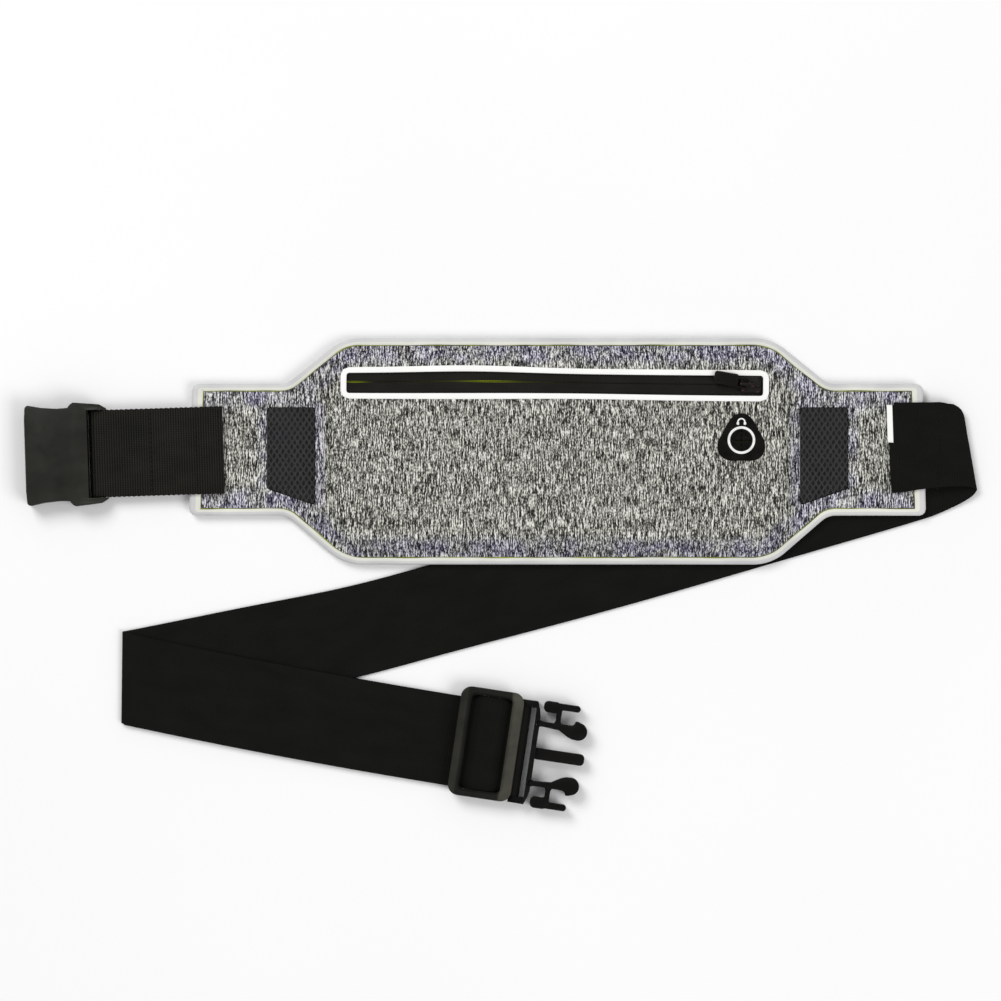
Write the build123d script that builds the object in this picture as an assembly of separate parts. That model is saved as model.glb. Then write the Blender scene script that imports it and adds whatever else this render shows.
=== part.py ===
from build123d import *

import math
import os

# Running waist pack, lying flat on a table with its front up. Millimetres, +Z up, X along the pouch.
# The pouch is two bonded fabric panels inside a folded edge binding, with a zip, two mesh windows and
# a rubber earphone port on its front. Nylon webbing holds the socket half of a side-release buckle on
# one ear. An elastic strap leaves the other ear, turns under the pouch, folds back once and carries
# the length adjuster and the plug half. All parts are built about the pouch's centre, and moved at
# the end so that the origin is under the middle of the whole pack, on the table.

# ---- pouch outline, the same at both ends; the ears flare a little at their lower corners ----
HALF_LENGTH = 161.5
HALF_HEIGHT = 50.0
EAR_TOP = 29.8
EAR_LOW = -28.4
EAR_FLARE = 1.4
SHOULDER_X = 94.5
EAR_START_X = 119.5
SHOULDER_RADIUS = 22.0
EAR_START_RADIUS = 9.0
EAR_CORNER_RADIUS = 3.0

# ---- fabric layers of the pouch, bottom to top ----
BINDING_BOTTOM = 1.45
BINDING_SKIN = 0.5
PANEL_THICK = 0.9
BACK_BOTTOM = BINDING_BOTTOM + BINDING_SKIN
FLANGE_BOTTOM = BACK_BOTTOM + PANEL_THICK
FLANGE_TOP = FLANGE_BOTTOM + PANEL_THICK
BINDING_TOP = FLANGE_TOP + BINDING_SKIN
BINDING_WIDTH = 3.0
EAR_BINDING_WIDTH = 5.0
LINING_THICK = 0.3
POUCH_TOP = 10.6
POUCH_INNER_TOP = POUCH_TOP - PANEL_THICK

# The pocket swells between a foot on the flange and a level top. Both are octagons, given by the
# corners (end x, corner y) and (corner x, side y).
FOOT = ((105.5, 35.5), (92.5, 46.1))
TOP = ((99.5, 36.0), (93.5, 39.5))
INNER_FOOT = ((104.9, 34.9), (92.4, 45.2))
INNER_TOP = ((98.6, 35.4), (93.1, 38.6))
TOP_EDGE_RADIUS = 1.5

# ---- zip ----
ZIP_X = -1.3
ZIP_Y = 29.5
ZIP_TURN = -0.4
CHAIN_Y = ZIP_Y + 0.5
ZIP_OPEN_LENGTH = 183.6
ZIP_OPEN_HEIGHT = 9.3
ZIP_FRAME_WIDTH = 2.8
ZIP_FRAME_THICK = 0.3
TAPE_THICK = 0.6
TAPE_WIDTH = 6.4
TAPE_GAP = 0.6
TAPE_LENGTH = 187.0
COIL_THICK = 1.4
COIL_LENGTH = 183.0
COIL_CORD = (1.6, 2.6)
COIL_PITCH = 1.5
COIL_TOOTH = 0.8
SLIDER_X = 85.0
SLIDER_LENGTH = 9.4
SLIDER_WIDTH = 7.0
SLIDER_PLATE = 1.2
PULL_SHIFT = 0.4
PULL_YAW = 9.5
PULL_REACH = 14.0
PULL_TAB = 10.8
PULL_TAB_SHIFT = -0.7
PULL_WIDTH = 5.6
PULL_THICK = 1.4
PULL_BAR_RADIUS = 0.5

# ---- earphone port ----
PORT_X = 80.9
PORT_Y = 4.9
PORT_RADIUS = 10.4
PORT_LOBE = 1.4
PORT_THICK = 1.0
PORT_SLIT = 4.6
PORT_SLIT_GAP = 0.3
FLAP_THICK = 0.6
RING_OUTER = 6.1
RING_WIDTH = 1.1
PRINT_THICK = 0.2
MARK_RISE = 7.85

# ---- mesh windows: corners of the one at +X ----
WINDOW = ((107.0, 19.5), (128.5, 19.5), (128.5, -16.5), (107.0, -24.0))
WINDOW_CORNER_RADIUS = 1.2

# ---- nylon webbing and the socket half of the buckle ----
WEBBING_WIDTH = 38.0
WEBBING_THICK = 1.4
WEBBING_TOP_LAYER = 4.45
WEBBING_TOP = WEBBING_TOP_LAYER + WEBBING_THICK
WEBBING_SLOPE = 1.8
WEBBING_REACH = 56.4
WEBBING_RETURN = 27.0
WEBBING_SEAMS = (24.4, 44.5, 54.5)
SOCKET_BAR_AT = (-203.9, -1.1)
SOCKET_BAR_RADIUS = 1.35
LOOP_EASE = 0.15
SOCKET_BAR_Z = WEBBING_TOP_LAYER - LOOP_EASE - SOCKET_BAR_RADIUS
SOCKET_BOTTOM = 0.2
SOCKET_THICK = 9.4
SOCKET_WALL = 1.5
SOCKET_MOUTH = 31.0
SOCKET_THROAT = 3.4
SOCKET_BACK = 7.5
SOCKET_INNER_HALF = 19.6

# ---- elastic strap ----
STRAP_WIDTH = 39.5
STRAP_THICK = 1.2
LAYER_GAP = 0.15
TAB_START = (146.7, 1.7)
RIGHT_FOLD = (182.0, 0.0)
LEFT_FOLD = (-192.7, -100.2)
LONG_RUN_SAG = 6.8
TAB_TOP_LAYER = BINDING_TOP + 0.1
TAB_SEAMS = (3.6, 12.4, 22.0)

# ---- plug half of the buckle and the length adjuster ----
PLUG_BAR_AT = (-17.2, -132.3)
PLUG_TURN = -8.5
PLUG_BAR_RADIUS = 1.2
STRAP_EASE = 0.1
SHORT_BOTTOM = STRAP_THICK + LAYER_GAP
SHORT_TOP = SHORT_BOTTOM + STRAP_THICK
PLUG_BAR_Z = SHORT_TOP + STRAP_EASE + PLUG_BAR_RADIUS
PLUG_HALF_THICK = 3.4
PLUG_HALF_WIDTH = 22.9
PLUG_SLOT_HALF = 20.0
LUG_RADIUS = 1.7
BODY_START = 5.2
BODY_END = 7.4
GUIDE_END = 29.2
ARM_PIVOT = (7.4, 13.3)
ARM_ROOT_RADIUS = 1.35
ARM_ROOT_GAP = 0.15
ARM_HALF_THICK = 2.8
ARM_HOLLOW = 0.7
ARM_ROUND = 0.5
ADJUSTER_CENTRE = (-14.7, 1.0)
ADJUSTER_SIZE = (28.2, 48.4)
ADJUSTER_WINDOW = (-23.8, -5.6, 20.9)
ADJUSTER_BAR = (-16.8, -12.4)
ADJUSTER_BEVEL = 1.1
ADJUSTER_BOTTOM = 4.0
ADJUSTER_TOP = 7.6
ADJUSTER_BAR_TOP = 5.2
# The underside of the adjuster's right bar, hollowed so that it clears the strap's turn.
ADJUSTER_RELIEF = ((-4.5, 3.9), (-4.1, 3.9), (-2.1, 5.9), (-1.2, 6.45), (-0.4, 6.75))


# ---------------------------------------------------------------- helpers
def slab(face, low, high):
    """The prism of a flat face between two heights."""
    return extrude(Pos(0, 0, low) * face, high - low)


def block(x0, x1, y0, y1, z0, z1):
    return Pos((x0 + x1) / 2, (y0 + y1) / 2, (z0 + z1) / 2) * Box(x1 - x0, y1 - y0, z1 - z0)


def polygon(*points):
    return make_face(Polyline(*points, close=True))


def octagon(corners):
    """A face symmetric about X and Y, from its two corners in the first quadrant."""
    (ax, ay), (bx, by) = corners
    quarter = [(ax, ay), (bx, by)]
    second = [(-x, y) for x, y in reversed(quarter)]
    third = [(-x, -y) for x, y in quarter]
    fourth = [(x, -y) for x, y in reversed(quarter)]
    return polygon(*quarter, *second, *third, *fourth)


def heading(degrees):
    return Vector(math.cos(math.radians(degrees)), math.sin(math.radians(degrees)))


def along(place, turn, height=0.0):
    """A frame at a place on the table whose X points along a strap or buckle."""
    return Location((place[0], place[1], height), (0, 0, turn))


def side_profile(path, thick, width):
    """A band of fabric that follows a path in the XZ plane, as wide as width along Y."""
    face = trace(path, line_width=thick)
    return extrude(Plane.XZ * face, amount=width / 2, both=True)


# ---------------------------------------------------------------- pouch
def mirrored_polygon(side):
    """A face symmetric about Y, from the corners of its right side, top to bottom."""
    return polygon(*side, *[(-x, y) for x, y in reversed(side)])


def pouch_outline():
    upper = [(SHOULDER_X, HALF_HEIGHT), (EAR_START_X, EAR_TOP), (HALF_LENGTH, EAR_TOP)]
    lower = [(HALF_LENGTH + EAR_FLARE, EAR_LOW), (EAR_START_X, EAR_LOW), (SHOULDER_X, -HALF_HEIGHT)]
    face = mirrored_polygon(upper + lower)
    for near, far, radius in (
        (HALF_LENGTH, HALF_LENGTH + EAR_FLARE, EAR_CORNER_RADIUS),
        (EAR_START_X, EAR_START_X, EAR_START_RADIUS),
        (SHOULDER_X, SHOULDER_X, SHOULDER_RADIUS),
    ):
        corners = [v for v in face.vertices() if near - 0.01 < abs(v.X) < far + 0.01]
        face = fillet(corners, radius)
    return face


OUTLINE = pouch_outline()
PANEL_OUTLINE = offset(OUTLINE, -BINDING_SKIN)


def window_face(side):
    face = polygon(*[(side * x, y) for x, y in WINDOW])
    return fillet(face.vertices(), WINDOW_CORNER_RADIUS)


def on_zip_line(shape):
    """Turns a shape about the middle of the zip: the whole zip leans a little."""
    return Pos(ZIP_X, ZIP_Y) * Rot(0, 0, ZIP_TURN) * Pos(-ZIP_X, -ZIP_Y) * shape


def zip_opening():
    return Pos(ZIP_X, ZIP_Y) * RectangleRounded(ZIP_OPEN_LENGTH, ZIP_OPEN_HEIGHT, 1.0)


def port_hole():
    return Pos(PORT_X, PORT_Y) * Circle(PORT_SLIT + 0.9)


def swell(foot, top, foot_z, top_z):
    return loft([Pos(0, 0, foot_z) * octagon(foot), Pos(0, 0, top_z) * octagon(top)], ruled=True)


def front_panel():
    outer = swell(FOOT, TOP, FLANGE_TOP, POUCH_TOP)
    outer = fillet(outer.faces().sort_by(Axis.Z)[-1].edges(), TOP_EDGE_RADIUS)
    inner = swell(INNER_FOOT, INNER_TOP, FLANGE_BOTTOM, POUCH_INNER_TOP)
    panel = slab(PANEL_OUTLINE, FLANGE_BOTTOM, FLANGE_TOP) + outer - inner
    for opening in (on_zip_line(zip_opening()), port_hole(), window_face(1), window_face(-1)):
        panel -= slab(opening, FLANGE_BOTTOM - 1, POUCH_TOP + 1)
    return panel


def back_panel():
    return slab(PANEL_OUTLINE, BACK_BOTTOM, FLANGE_BOTTOM)


def pocket_lining():
    return slab(offset(octagon(INNER_FOOT), -1.0), FLANGE_BOTTOM, FLANGE_BOTTOM + LINING_THICK)


def inner_box():
    """The part of the pouch between its ears."""
    return Rectangle(2 * EAR_START_X, 2 * HALF_HEIGHT)


def edge_binding():
    middle = offset(OUTLINE, -BINDING_WIDTH)
    ear_line = HALF_LENGTH - EAR_BINDING_WIDTH
    middle &= mirrored_polygon([(ear_line, EAR_TOP), (ear_line + EAR_FLARE, EAR_LOW)]) + inner_box()
    ring = slab(OUTLINE, BINDING_BOTTOM, BINDING_TOP)
    ring -= slab(middle, BINDING_BOTTOM, BINDING_TOP)
    return ring - slab(PANEL_OUTLINE, BACK_BOTTOM, FLANGE_TOP)


def mesh_window(side):
    """The mesh insert, which fills its window in the front panel."""
    return slab(window_face(side), FLANGE_BOTTOM, FLANGE_TOP - 0.2)


# ---------------------------------------------------------------- zip
TAPE_TOP = POUCH_INNER_TOP - 0.05
TAPE_BOTTOM = TAPE_TOP - TAPE_THICK
COIL_BOTTOM = TAPE_BOTTOM - COIL_THICK
PLATE_BOTTOM = TAPE_TOP + 0.15
PLATE_TOP = PLATE_BOTTOM + SLIDER_PLATE
PULL_AXIS = (SLIDER_X - 2.4, CHAIN_Y + PULL_SHIFT, PLATE_TOP + 0.8)


def zip_frame():
    grow = 2 * ZIP_FRAME_WIDTH
    outer = RectangleRounded(ZIP_OPEN_LENGTH + grow, ZIP_OPEN_HEIGHT + grow, 4.4)
    ring = Pos(ZIP_X, ZIP_Y) * outer - zip_opening()
    return slab(ring, POUCH_TOP, POUCH_TOP + ZIP_FRAME_THICK)


def zip_tape(side):
    near, far = sorted((side * TAPE_GAP / 2, side * (TAPE_GAP / 2 + TAPE_WIDTH)))
    half = TAPE_LENGTH / 2
    return block(ZIP_X - half, ZIP_X + half, CHAIN_Y + near, CHAIN_Y + far, TAPE_BOTTOM, TAPE_TOP)


def zip_coil(side):
    """One half of the chain: a cord with a row of teeth that stop short of the middle."""
    start = ZIP_X - COIL_LENGTH / 2
    cord_near, cord_far = COIL_CORD
    half = Pos(ZIP_X, CHAIN_Y + side * (cord_near + cord_far) / 2)
    comb = half * Rectangle(COIL_LENGTH, cord_far - cord_near)
    reach = cord_near - TAPE_GAP / 2
    middle = side * (TAPE_GAP / 2 + reach / 2)
    phase = 0.25 if side > 0 else 0.75
    teeth = int(COIL_LENGTH / COIL_PITCH)
    places = [(start + (i + phase) * COIL_PITCH, CHAIN_Y + middle) for i in range(teeth)]
    comb += [Pos(*place) * Rectangle(COIL_TOOTH, reach + 0.02) for place in places]
    return slab(comb, COIL_BOTTOM, TAPE_BOTTOM)


def zip_stop(side):
    x = ZIP_X + side * (COIL_LENGTH / 2 + 1.2)
    return block(x - 0.7, x + 0.7, CHAIN_Y - 2.6, CHAIN_Y + 2.6, COIL_BOTTOM, TAPE_BOTTOM)


def zip_slider():
    """Two plates joined by a thin neck through the gap in the tapes, and the arch for the pull."""
    shield = Pos(SLIDER_X, CHAIN_Y) * RectangleRounded(SLIDER_LENGTH, SLIDER_WIDTH, 1.6)
    keel = Pos(SLIDER_X, CHAIN_Y) * RectangleRounded(SLIDER_LENGTH, SLIDER_WIDTH - 0.6, 1.6)
    top = slab(shield, PLATE_BOTTOM, PLATE_TOP)
    bottom = slab(keel, COIL_BOTTOM - 1.25, COIL_BOTTOM - 0.25)
    x0, x1 = SLIDER_X - 1.0, SLIDER_X + 3.6
    neck = block(x0, x1, CHAIN_Y - 0.2, CHAIN_Y + 0.2, COIL_BOTTOM - 0.5, PLATE_TOP - 0.3)
    x0, x1 = SLIDER_X - 4.0, SLIDER_X + 3.6
    arch = block(x0, x1, CHAIN_Y - 0.7, CHAIN_Y + 0.7, PLATE_TOP - 0.2, PLATE_TOP + 2.2)
    arch = fillet(arch.edges().filter_by(Axis.Y).group_by(Axis.Z)[-1], 0.9)
    arch -= block(x0 + 0.8, x1 - 1.0, CHAIN_Y - 2, CHAIN_Y + 2, PLATE_TOP, PLATE_TOP + 1.5)
    return top + bottom + neck + arch


def zip_puller():
    """A moulded tab with an eye whose end bar passes under the slider's arch."""
    frame = Location(PULL_AXIS, (0, 0, 180 - PULL_YAW))
    tab_at = Pos(PULL_REACH - PULL_TAB / 2, PULL_TAB_SHIFT)
    tab = tab_at * RectangleRounded(PULL_TAB, PULL_WIDTH, 1.2)
    cheeks = Pos(1.9, 0) * Rectangle(3.8, 5.0) - Pos(1.9, 0) * Rectangle(3.82, 3.2)
    flat = slab(tab + cheeks, -0.5 * PULL_THICK, 0.5 * PULL_THICK)
    bar = Rot(90, 0, 0) * Cylinder(PULL_BAR_RADIUS, 5.0)
    ends = [Pos(0, y, 0) * Rot(90, 0, 0) * Cylinder(0.5 * PULL_THICK, 0.9) for y in (-2.05, 2.05)]
    flat += bar + ends
    grip = tab_at * Pos(0, 0, 0.5 * PULL_THICK) * Box(PULL_TAB - 3.6, 3.2, 0.5)
    return frame * (flat - grip)


# ---------------------------------------------------------------- earphone port
FLAP_BOTTOM = POUCH_TOP + PORT_THICK - FLAP_THICK
PORT_TOP = POUCH_TOP + PORT_THICK


def port_patch():
    """A plump triangle of rubber with a diamond hole, whose corners are the ends of the slits."""
    rim = []
    for degrees in range(0, 360, 15):
        radius = PORT_RADIUS + PORT_LOBE * math.cos(math.radians(3 * (degrees - 90)))
        rim.append(heading(degrees) * radius)
    face = make_face(Spline(*rim, periodic=True))
    face -= polygon((PORT_SLIT, 0), (0, PORT_SLIT), (-PORT_SLIT, 0), (0, -PORT_SLIT))
    return slab(Pos(PORT_X, PORT_Y) * face, POUCH_TOP, PORT_TOP)


def port_flap(number):
    """One of the four petals between the crossed slits. It bends about its long edge."""
    near = PORT_SLIT_GAP / 2
    far = PORT_SLIT - 2 * PORT_SLIT_GAP
    face = Rot(0, 0, 90 * number) * polygon((near, near), (far, near), (near, far))
    return slab(Pos(PORT_X, PORT_Y) * face, FLAP_BOTTOM, PORT_TOP)


def port_ring():
    face = Pos(PORT_X, PORT_Y) * (Circle(RING_OUTER) - Circle(RING_OUTER - RING_WIDTH))
    return slab(face, PORT_TOP, PORT_TOP + PRINT_THICK)


def headphone_mark():
    """A generic headphone: a half ring with two ear cups."""
    band = (Circle(1.9) - Circle(1.4)) & Pos(0, 1.0) * Rectangle(4, 2)
    cups = [Pos(x, -0.6) * RectangleRounded(0.9, 1.3, 0.4) for x in (-1.65, 1.65)]
    return slab(Pos(PORT_X, PORT_Y + MARK_RISE) * (band + cups), PORT_TOP, PORT_TOP + PRINT_THICK)


# ---------------------------------------------------------------- nylon webbing and socket
WEBBING_FRAME = along(SOCKET_BAR_AT, WEBBING_SLOPE)
SOCKET_FRAME = along(SOCKET_BAR_AT, 180 + WEBBING_SLOPE)


def left_webbing():
    """From the ear round the socket's bar and back under itself to the stitched line."""
    bend = SOCKET_BAR_RADIUS + LOOP_EASE + WEBBING_THICK / 2
    top, low = SOCKET_BAR_Z + bend, SOCKET_BAR_Z - bend
    under = WEBBING_TOP_LAYER - 0.1 - WEBBING_THICK / 2
    path = Line((WEBBING_REACH, top), (0, top))
    path += ThreePointArc((0, top), (-bend, SOCKET_BAR_Z), (0, low))
    path += FilletPolyline((0, low), (6, low), (16, under), (WEBBING_RETURN, under), radius=6)
    return WEBBING_FRAME * side_profile(path, WEBBING_THICK, WEBBING_WIDTH)


def stitch_rows(frame, rows, half_width, height, pitch=3.2, length=2.2):
    """Rows of thread stitches across a strap, standing a little proud of it."""
    count = int(2 * half_width / pitch)
    places = [(x, (i - (count - 1) / 2) * pitch) for x in rows for i in range(count)]
    thread = Box(0.5, length, 0.3)
    return [frame * Pos(x, y, height + 0.15) * thread for x, y in places]


def socket_outline():
    """Half widths of the socket seen from above, from the strap end to the mouth."""
    half = [(-5.0, 20.0), (-2.0, 21.8), (9.2, 22.9), (10.5, 22.2), (11.8, 20.6), (16.6, 20.4)]
    half += [(23.4, 21.0), (SOCKET_MOUTH - 0.5, 22.4), (SOCKET_MOUTH, 16.0)]
    face = polygon(*half, *[(x, -y) for x, y in reversed(half)])
    lips = [v for v in face.vertices() if v.X > 30 and abs(v.Y) > 20]
    return fillet(lips, 1.6)


def buckle_socket():
    """The hollow half: a flat case open at its mouth, with a side window for each arm."""
    low, high = SOCKET_BOTTOM, SOCKET_BOTTOM + SOCKET_THICK
    case = slab(socket_outline(), low, high)
    rim = case.edges().group_by(Axis.Z)
    case = chamfer([*rim[0], *rim[-1]], 0.6)
    tail = Plane.XZ * polygon((-6, 4.6), (-6, 12), (8, 12), (3.0, 9.7), (-2.0, 7.2))
    case -= extrude(tail, 30, both=True)
    heel = Plane.XZ * polygon((-6, -2), (-6, 2.2), (-2.2, 1.3), (0.5, -2))
    case -= extrude(heel, 30, both=True)
    inner_low, inner_high = low + SOCKET_WALL, high - SOCKET_WALL
    half = SOCKET_INNER_HALF
    case -= block(SOCKET_BACK, SOCKET_MOUTH + 2, -half, half, inner_low, inner_high)
    case -= block(11.0, 23.5, -30, 30, inner_low, inner_high)
    throat = WEBBING_WIDTH / 2 + 0.4
    case -= block(-8, SOCKET_THROAT, -throat, throat, -1, 12)
    bar = Pos(0, 0, SOCKET_BAR_Z) * Rot(90, 0, 0) * Cylinder(SOCKET_BAR_RADIUS, 2 * throat + 1)
    return SOCKET_FRAME * (case + bar)


# ---------------------------------------------------------------- elastic strap
class Run:
    """A stretch of strap that lies flat and bends a little sideways, as an arc between two points."""

    def __init__(self, start, end, sag):
        self.start, self.end = Vector(*start), Vector(*end)
        chord = self.end - self.start
        self.radius = chord.length**2 / (8 * sag) + sag / 2
        up = Vector(-chord.Y, chord.X).normalized()
        up = up if up.Y > 0 else -up
        self.centre = (self.start + self.end) / 2 + up * (self.radius - sag)
        turn = math.degrees(math.asin(chord.length / 2 / self.radius))
        lean = math.degrees(math.atan2(chord.Y, chord.X))
        sign = 1 if chord.X > 0 else -1
        self.first = heading(lean - sign * turn)
        self.last = heading(lean + sign * turn)

    def edge(self, shift, cut):
        """Where the edge that is shift from the middle line meets a cut (point, direction)."""
        point, direction = cut
        reach = point - self.centre
        radius = self.radius + shift
        b, c = reach.dot(direction), reach.length**2 - radius**2
        root = math.sqrt(b * b - c)
        step = min((-b - root, -b + root), key=abs)
        return point + direction * step

    def band(self, width, first_cut, last_cut):
        edges = []
        for shift in (-width / 2, width / 2):
            a, b = self.edge(shift, first_cut), self.edge(shift, last_cut)
            out = ((a + b) / 2 - self.centre).normalized()
            edges.append((a, self.centre + out * (self.radius + shift), b))
        (a0, m0, b0), (a1, m1, b1) = edges
        sides = [ThreePointArc(a0, m0, b0), Line(b0, b1), ThreePointArc(b1, m1, a1), Line(a1, a0)]
        return make_face(sides)


def flat_vector(point):
    return Vector(point[0], point[1])


LONG_RUN = Run(RIGHT_FOLD, LEFT_FOLD, LONG_RUN_SAG)
SHORT_CHORD = flat_vector(PLUG_BAR_AT) - flat_vector(LEFT_FOLD)
SHORT_LEAN = math.degrees(math.atan2(SHORT_CHORD.Y, SHORT_CHORD.X))
SHORT_TURN = math.radians(PLUG_TURN - SHORT_LEAN)
SHORT_RUN = Run(LEFT_FOLD, PLUG_BAR_AT, SHORT_CHORD.length / 2 * math.tan(SHORT_TURN / 2))


class Fold:
    """A half turn of strap about an upright edge, whose outermost line passes through a point."""

    def __init__(self, place, arriving, leaving, low, high):
        self.crease = (arriving + leaving).normalized()
        self.out = Vector(-self.crease.Y, self.crease.X)
        if self.out.dot(arriving) < 0:
            self.out, self.crease = -self.out, -self.crease
        self.outer = (high - low) / 2
        self.middle = (high + low) / 2
        self.axis_point = flat_vector(place) - self.out * self.outer
        self.cut = (self.axis_point, self.crease)

    def solid(self, width):
        origin = Vector(self.axis_point.X, self.axis_point.Y, self.middle)
        plane = Plane(origin, x_dir=self.out, z_dir=self.crease)
        inner = self.outer - STRAP_THICK
        ring = (Circle(self.outer) - Circle(inner)) & Pos(5, 0) * Rectangle(10, 20)
        return extrude(plane * ring, amount=width / 2, both=True)


TAB_HEADING = (flat_vector(RIGHT_FOLD) - flat_vector(TAB_START)).normalized()
TAB_HIGH = TAB_TOP_LAYER + STRAP_THICK
RIGHT_TURN = Fold(RIGHT_FOLD, TAB_HEADING, LONG_RUN.first, 0, TAB_HIGH)
LEFT_TURN = Fold(LEFT_FOLD, LONG_RUN.last, SHORT_RUN.first, 0, SHORT_TOP)


def tab_band():
    """The sewn end of the strap, from the ear to the first turn."""
    side = Vector(-TAB_HEADING.Y, TAB_HEADING.X) * (STRAP_WIDTH / 2)
    start = flat_vector(TAB_START)
    point, crease = RIGHT_TURN.cut
    corners = [start - side, start + side]
    for edge in (side, -side):
        base = start + edge
        gap = point - base
        cross = TAB_HEADING.X * crease.Y - TAB_HEADING.Y * crease.X
        reach = (gap.X * crease.Y - gap.Y * crease.X) / cross
        corners.append(base + TAB_HEADING * reach)
    return polygon(*[(c.X, c.Y) for c in corners])


def plug_turn():
    """The strap's turn round the plug's bar, and its way down towards the adjuster."""
    bend = PLUG_BAR_RADIUS + STRAP_EASE + STRAP_THICK / 2
    low = PLUG_BAR_Z - bend
    slant = bend * math.sqrt(0.5)
    upper = SHORT_TOP + LAYER_GAP / 2 + STRAP_THICK / 2
    drop = PLUG_BAR_Z + slant - upper
    path = ThreePointArc((0, low), (bend, PLUG_BAR_Z), (-slant, PLUG_BAR_Z + slant))
    path += Line((-slant, PLUG_BAR_Z + slant), (-slant - drop, upper))
    return PLUG_FLAT * side_profile(path, STRAP_THICK, STRAP_WIDTH)


PLUG_FLAT = along(PLUG_BAR_AT, PLUG_TURN)
PLUG_FRAME = along(PLUG_BAR_AT, PLUG_TURN, PLUG_BAR_Z)


def strap_sewn_end():
    return slab(tab_band(), TAB_TOP_LAYER, TAB_HIGH)


def strap_long_run():
    return slab(LONG_RUN.band(STRAP_WIDTH, RIGHT_TURN.cut, LEFT_TURN.cut), 0, STRAP_THICK)


def strap_short_run():
    end_cut = (flat_vector(PLUG_BAR_AT), heading(PLUG_TURN + 90))
    return slab(SHORT_RUN.band(STRAP_WIDTH, LEFT_TURN.cut, end_cut), SHORT_BOTTOM, SHORT_TOP)


def tab_label():
    """A reflective strip sewn along the upper part of the strap's end."""
    frame = along(TAB_START, math.degrees(math.atan2(TAB_HEADING.Y, TAB_HEADING.X)))
    return frame * block(-1.4, 1.4, 2.2, 18.4, TAB_HIGH, TAB_HIGH + 0.3)


def adjuster_strap_loop():
    """The part of the strap that is threaded over the adjuster's middle bar, and travels with it."""
    lay = SHORT_TOP + LAYER_GAP / 2 + STRAP_THICK / 2
    crest = ADJUSTER_BAR_TOP + 0.1 + STRAP_THICK / 2
    points = [(-27.0, lay), (-22.4, lay), (-18.6, crest), (-10.6, crest), (-6.8, lay), (-4.1, lay)]
    path = FilletPolyline(*points, radius=1.6)
    return PLUG_FLAT * side_profile(path, STRAP_THICK, STRAP_WIDTH)


# ---------------------------------------------------------------- adjuster and plug
def adjuster():
    """The three-bar slide: an outer frame with a lower bar across its middle."""
    u, v = ADJUSTER_CENTRE
    left, right, half = ADJUSTER_WINDOW
    outer = Pos(u, v) * RectangleRounded(*ADJUSTER_SIZE, 4.8)
    window = Pos((left + right) / 2, v) * RectangleRounded(right - left, 2 * half, 1.8)
    frame = slab(outer, ADJUSTER_BOTTOM, ADJUSTER_TOP)
    frame = fillet(frame.edges().group_by(Axis.Z)[-1], 0.8)
    frame -= slab(window, ADJUSTER_BOTTOM - 1, ADJUSTER_TOP + 1)
    rim = [e for e in frame.edges().group_by(Axis.Z)[-1] if left - 0.1 < e.center().X < right + 0.1]
    rim = [e for e in rim if abs(e.center().Y - v) < half + 0.1]
    frame = chamfer(rim, ADJUSTER_BEVEL)
    relief = polygon(*ADJUSTER_RELIEF, (2, 6.9), (2, 3.5), (-4.5, 3.5))
    frame -= extrude(Plane.XZ * relief, 30, both=True)
    frame += block(*ADJUSTER_BAR, v - half - 0.5, v + half + 0.5, ADJUSTER_BOTTOM, ADJUSTER_BAR_TOP)
    return PLUG_FLAT * frame


def buckle_plug():
    """The plug's frame: a bar between two lugs, a cross member and the middle guide."""
    root = BODY_START + 0.2
    lug = polygon((0, -LUG_RADIUS), (root, -PLUG_HALF_THICK), (root, PLUG_HALF_THICK), (0, LUG_RADIUS))
    lug += Circle(LUG_RADIUS)
    wall = PLUG_HALF_WIDTH - PLUG_SLOT_HALF
    lugs = extrude(Plane.XZ * lug, wall)
    solid = Pos(0, PLUG_HALF_WIDTH, 0) * lugs + Pos(0, -PLUG_SLOT_HALF, 0) * lugs
    solid += Rot(90, 0, 0) * Cylinder(PLUG_BAR_RADIUS, 2 * PLUG_SLOT_HALF + 1)
    half = [(BODY_START, PLUG_HALF_WIDTH), (5.4, PLUG_HALF_WIDTH), (6.7, 19.7)]
    half += [(BODY_END, 16.5), (BODY_END, 0)]
    body = polygon(*half, *[(x, -y) for x, y in reversed(half[:-1])])
    body = slab(body, -PLUG_HALF_THICK, PLUG_HALF_THICK)
    solid += body
    guide_root = BODY_END - 1.0
    guide = Pos((guide_root + GUIDE_END) / 2, 0) * RectangleRounded(GUIDE_END - guide_root, 5.0, 1.8)
    solid += slab(guide, -2.0, 2.0)
    for side in (-1, 1):
        seat = Pos(ARM_PIVOT[0], side * ARM_PIVOT[1]) * Circle(ARM_ROOT_RADIUS + ARM_ROOT_GAP)
        solid -= slab(seat, -5, 5)
    return PLUG_FRAME * solid


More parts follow.
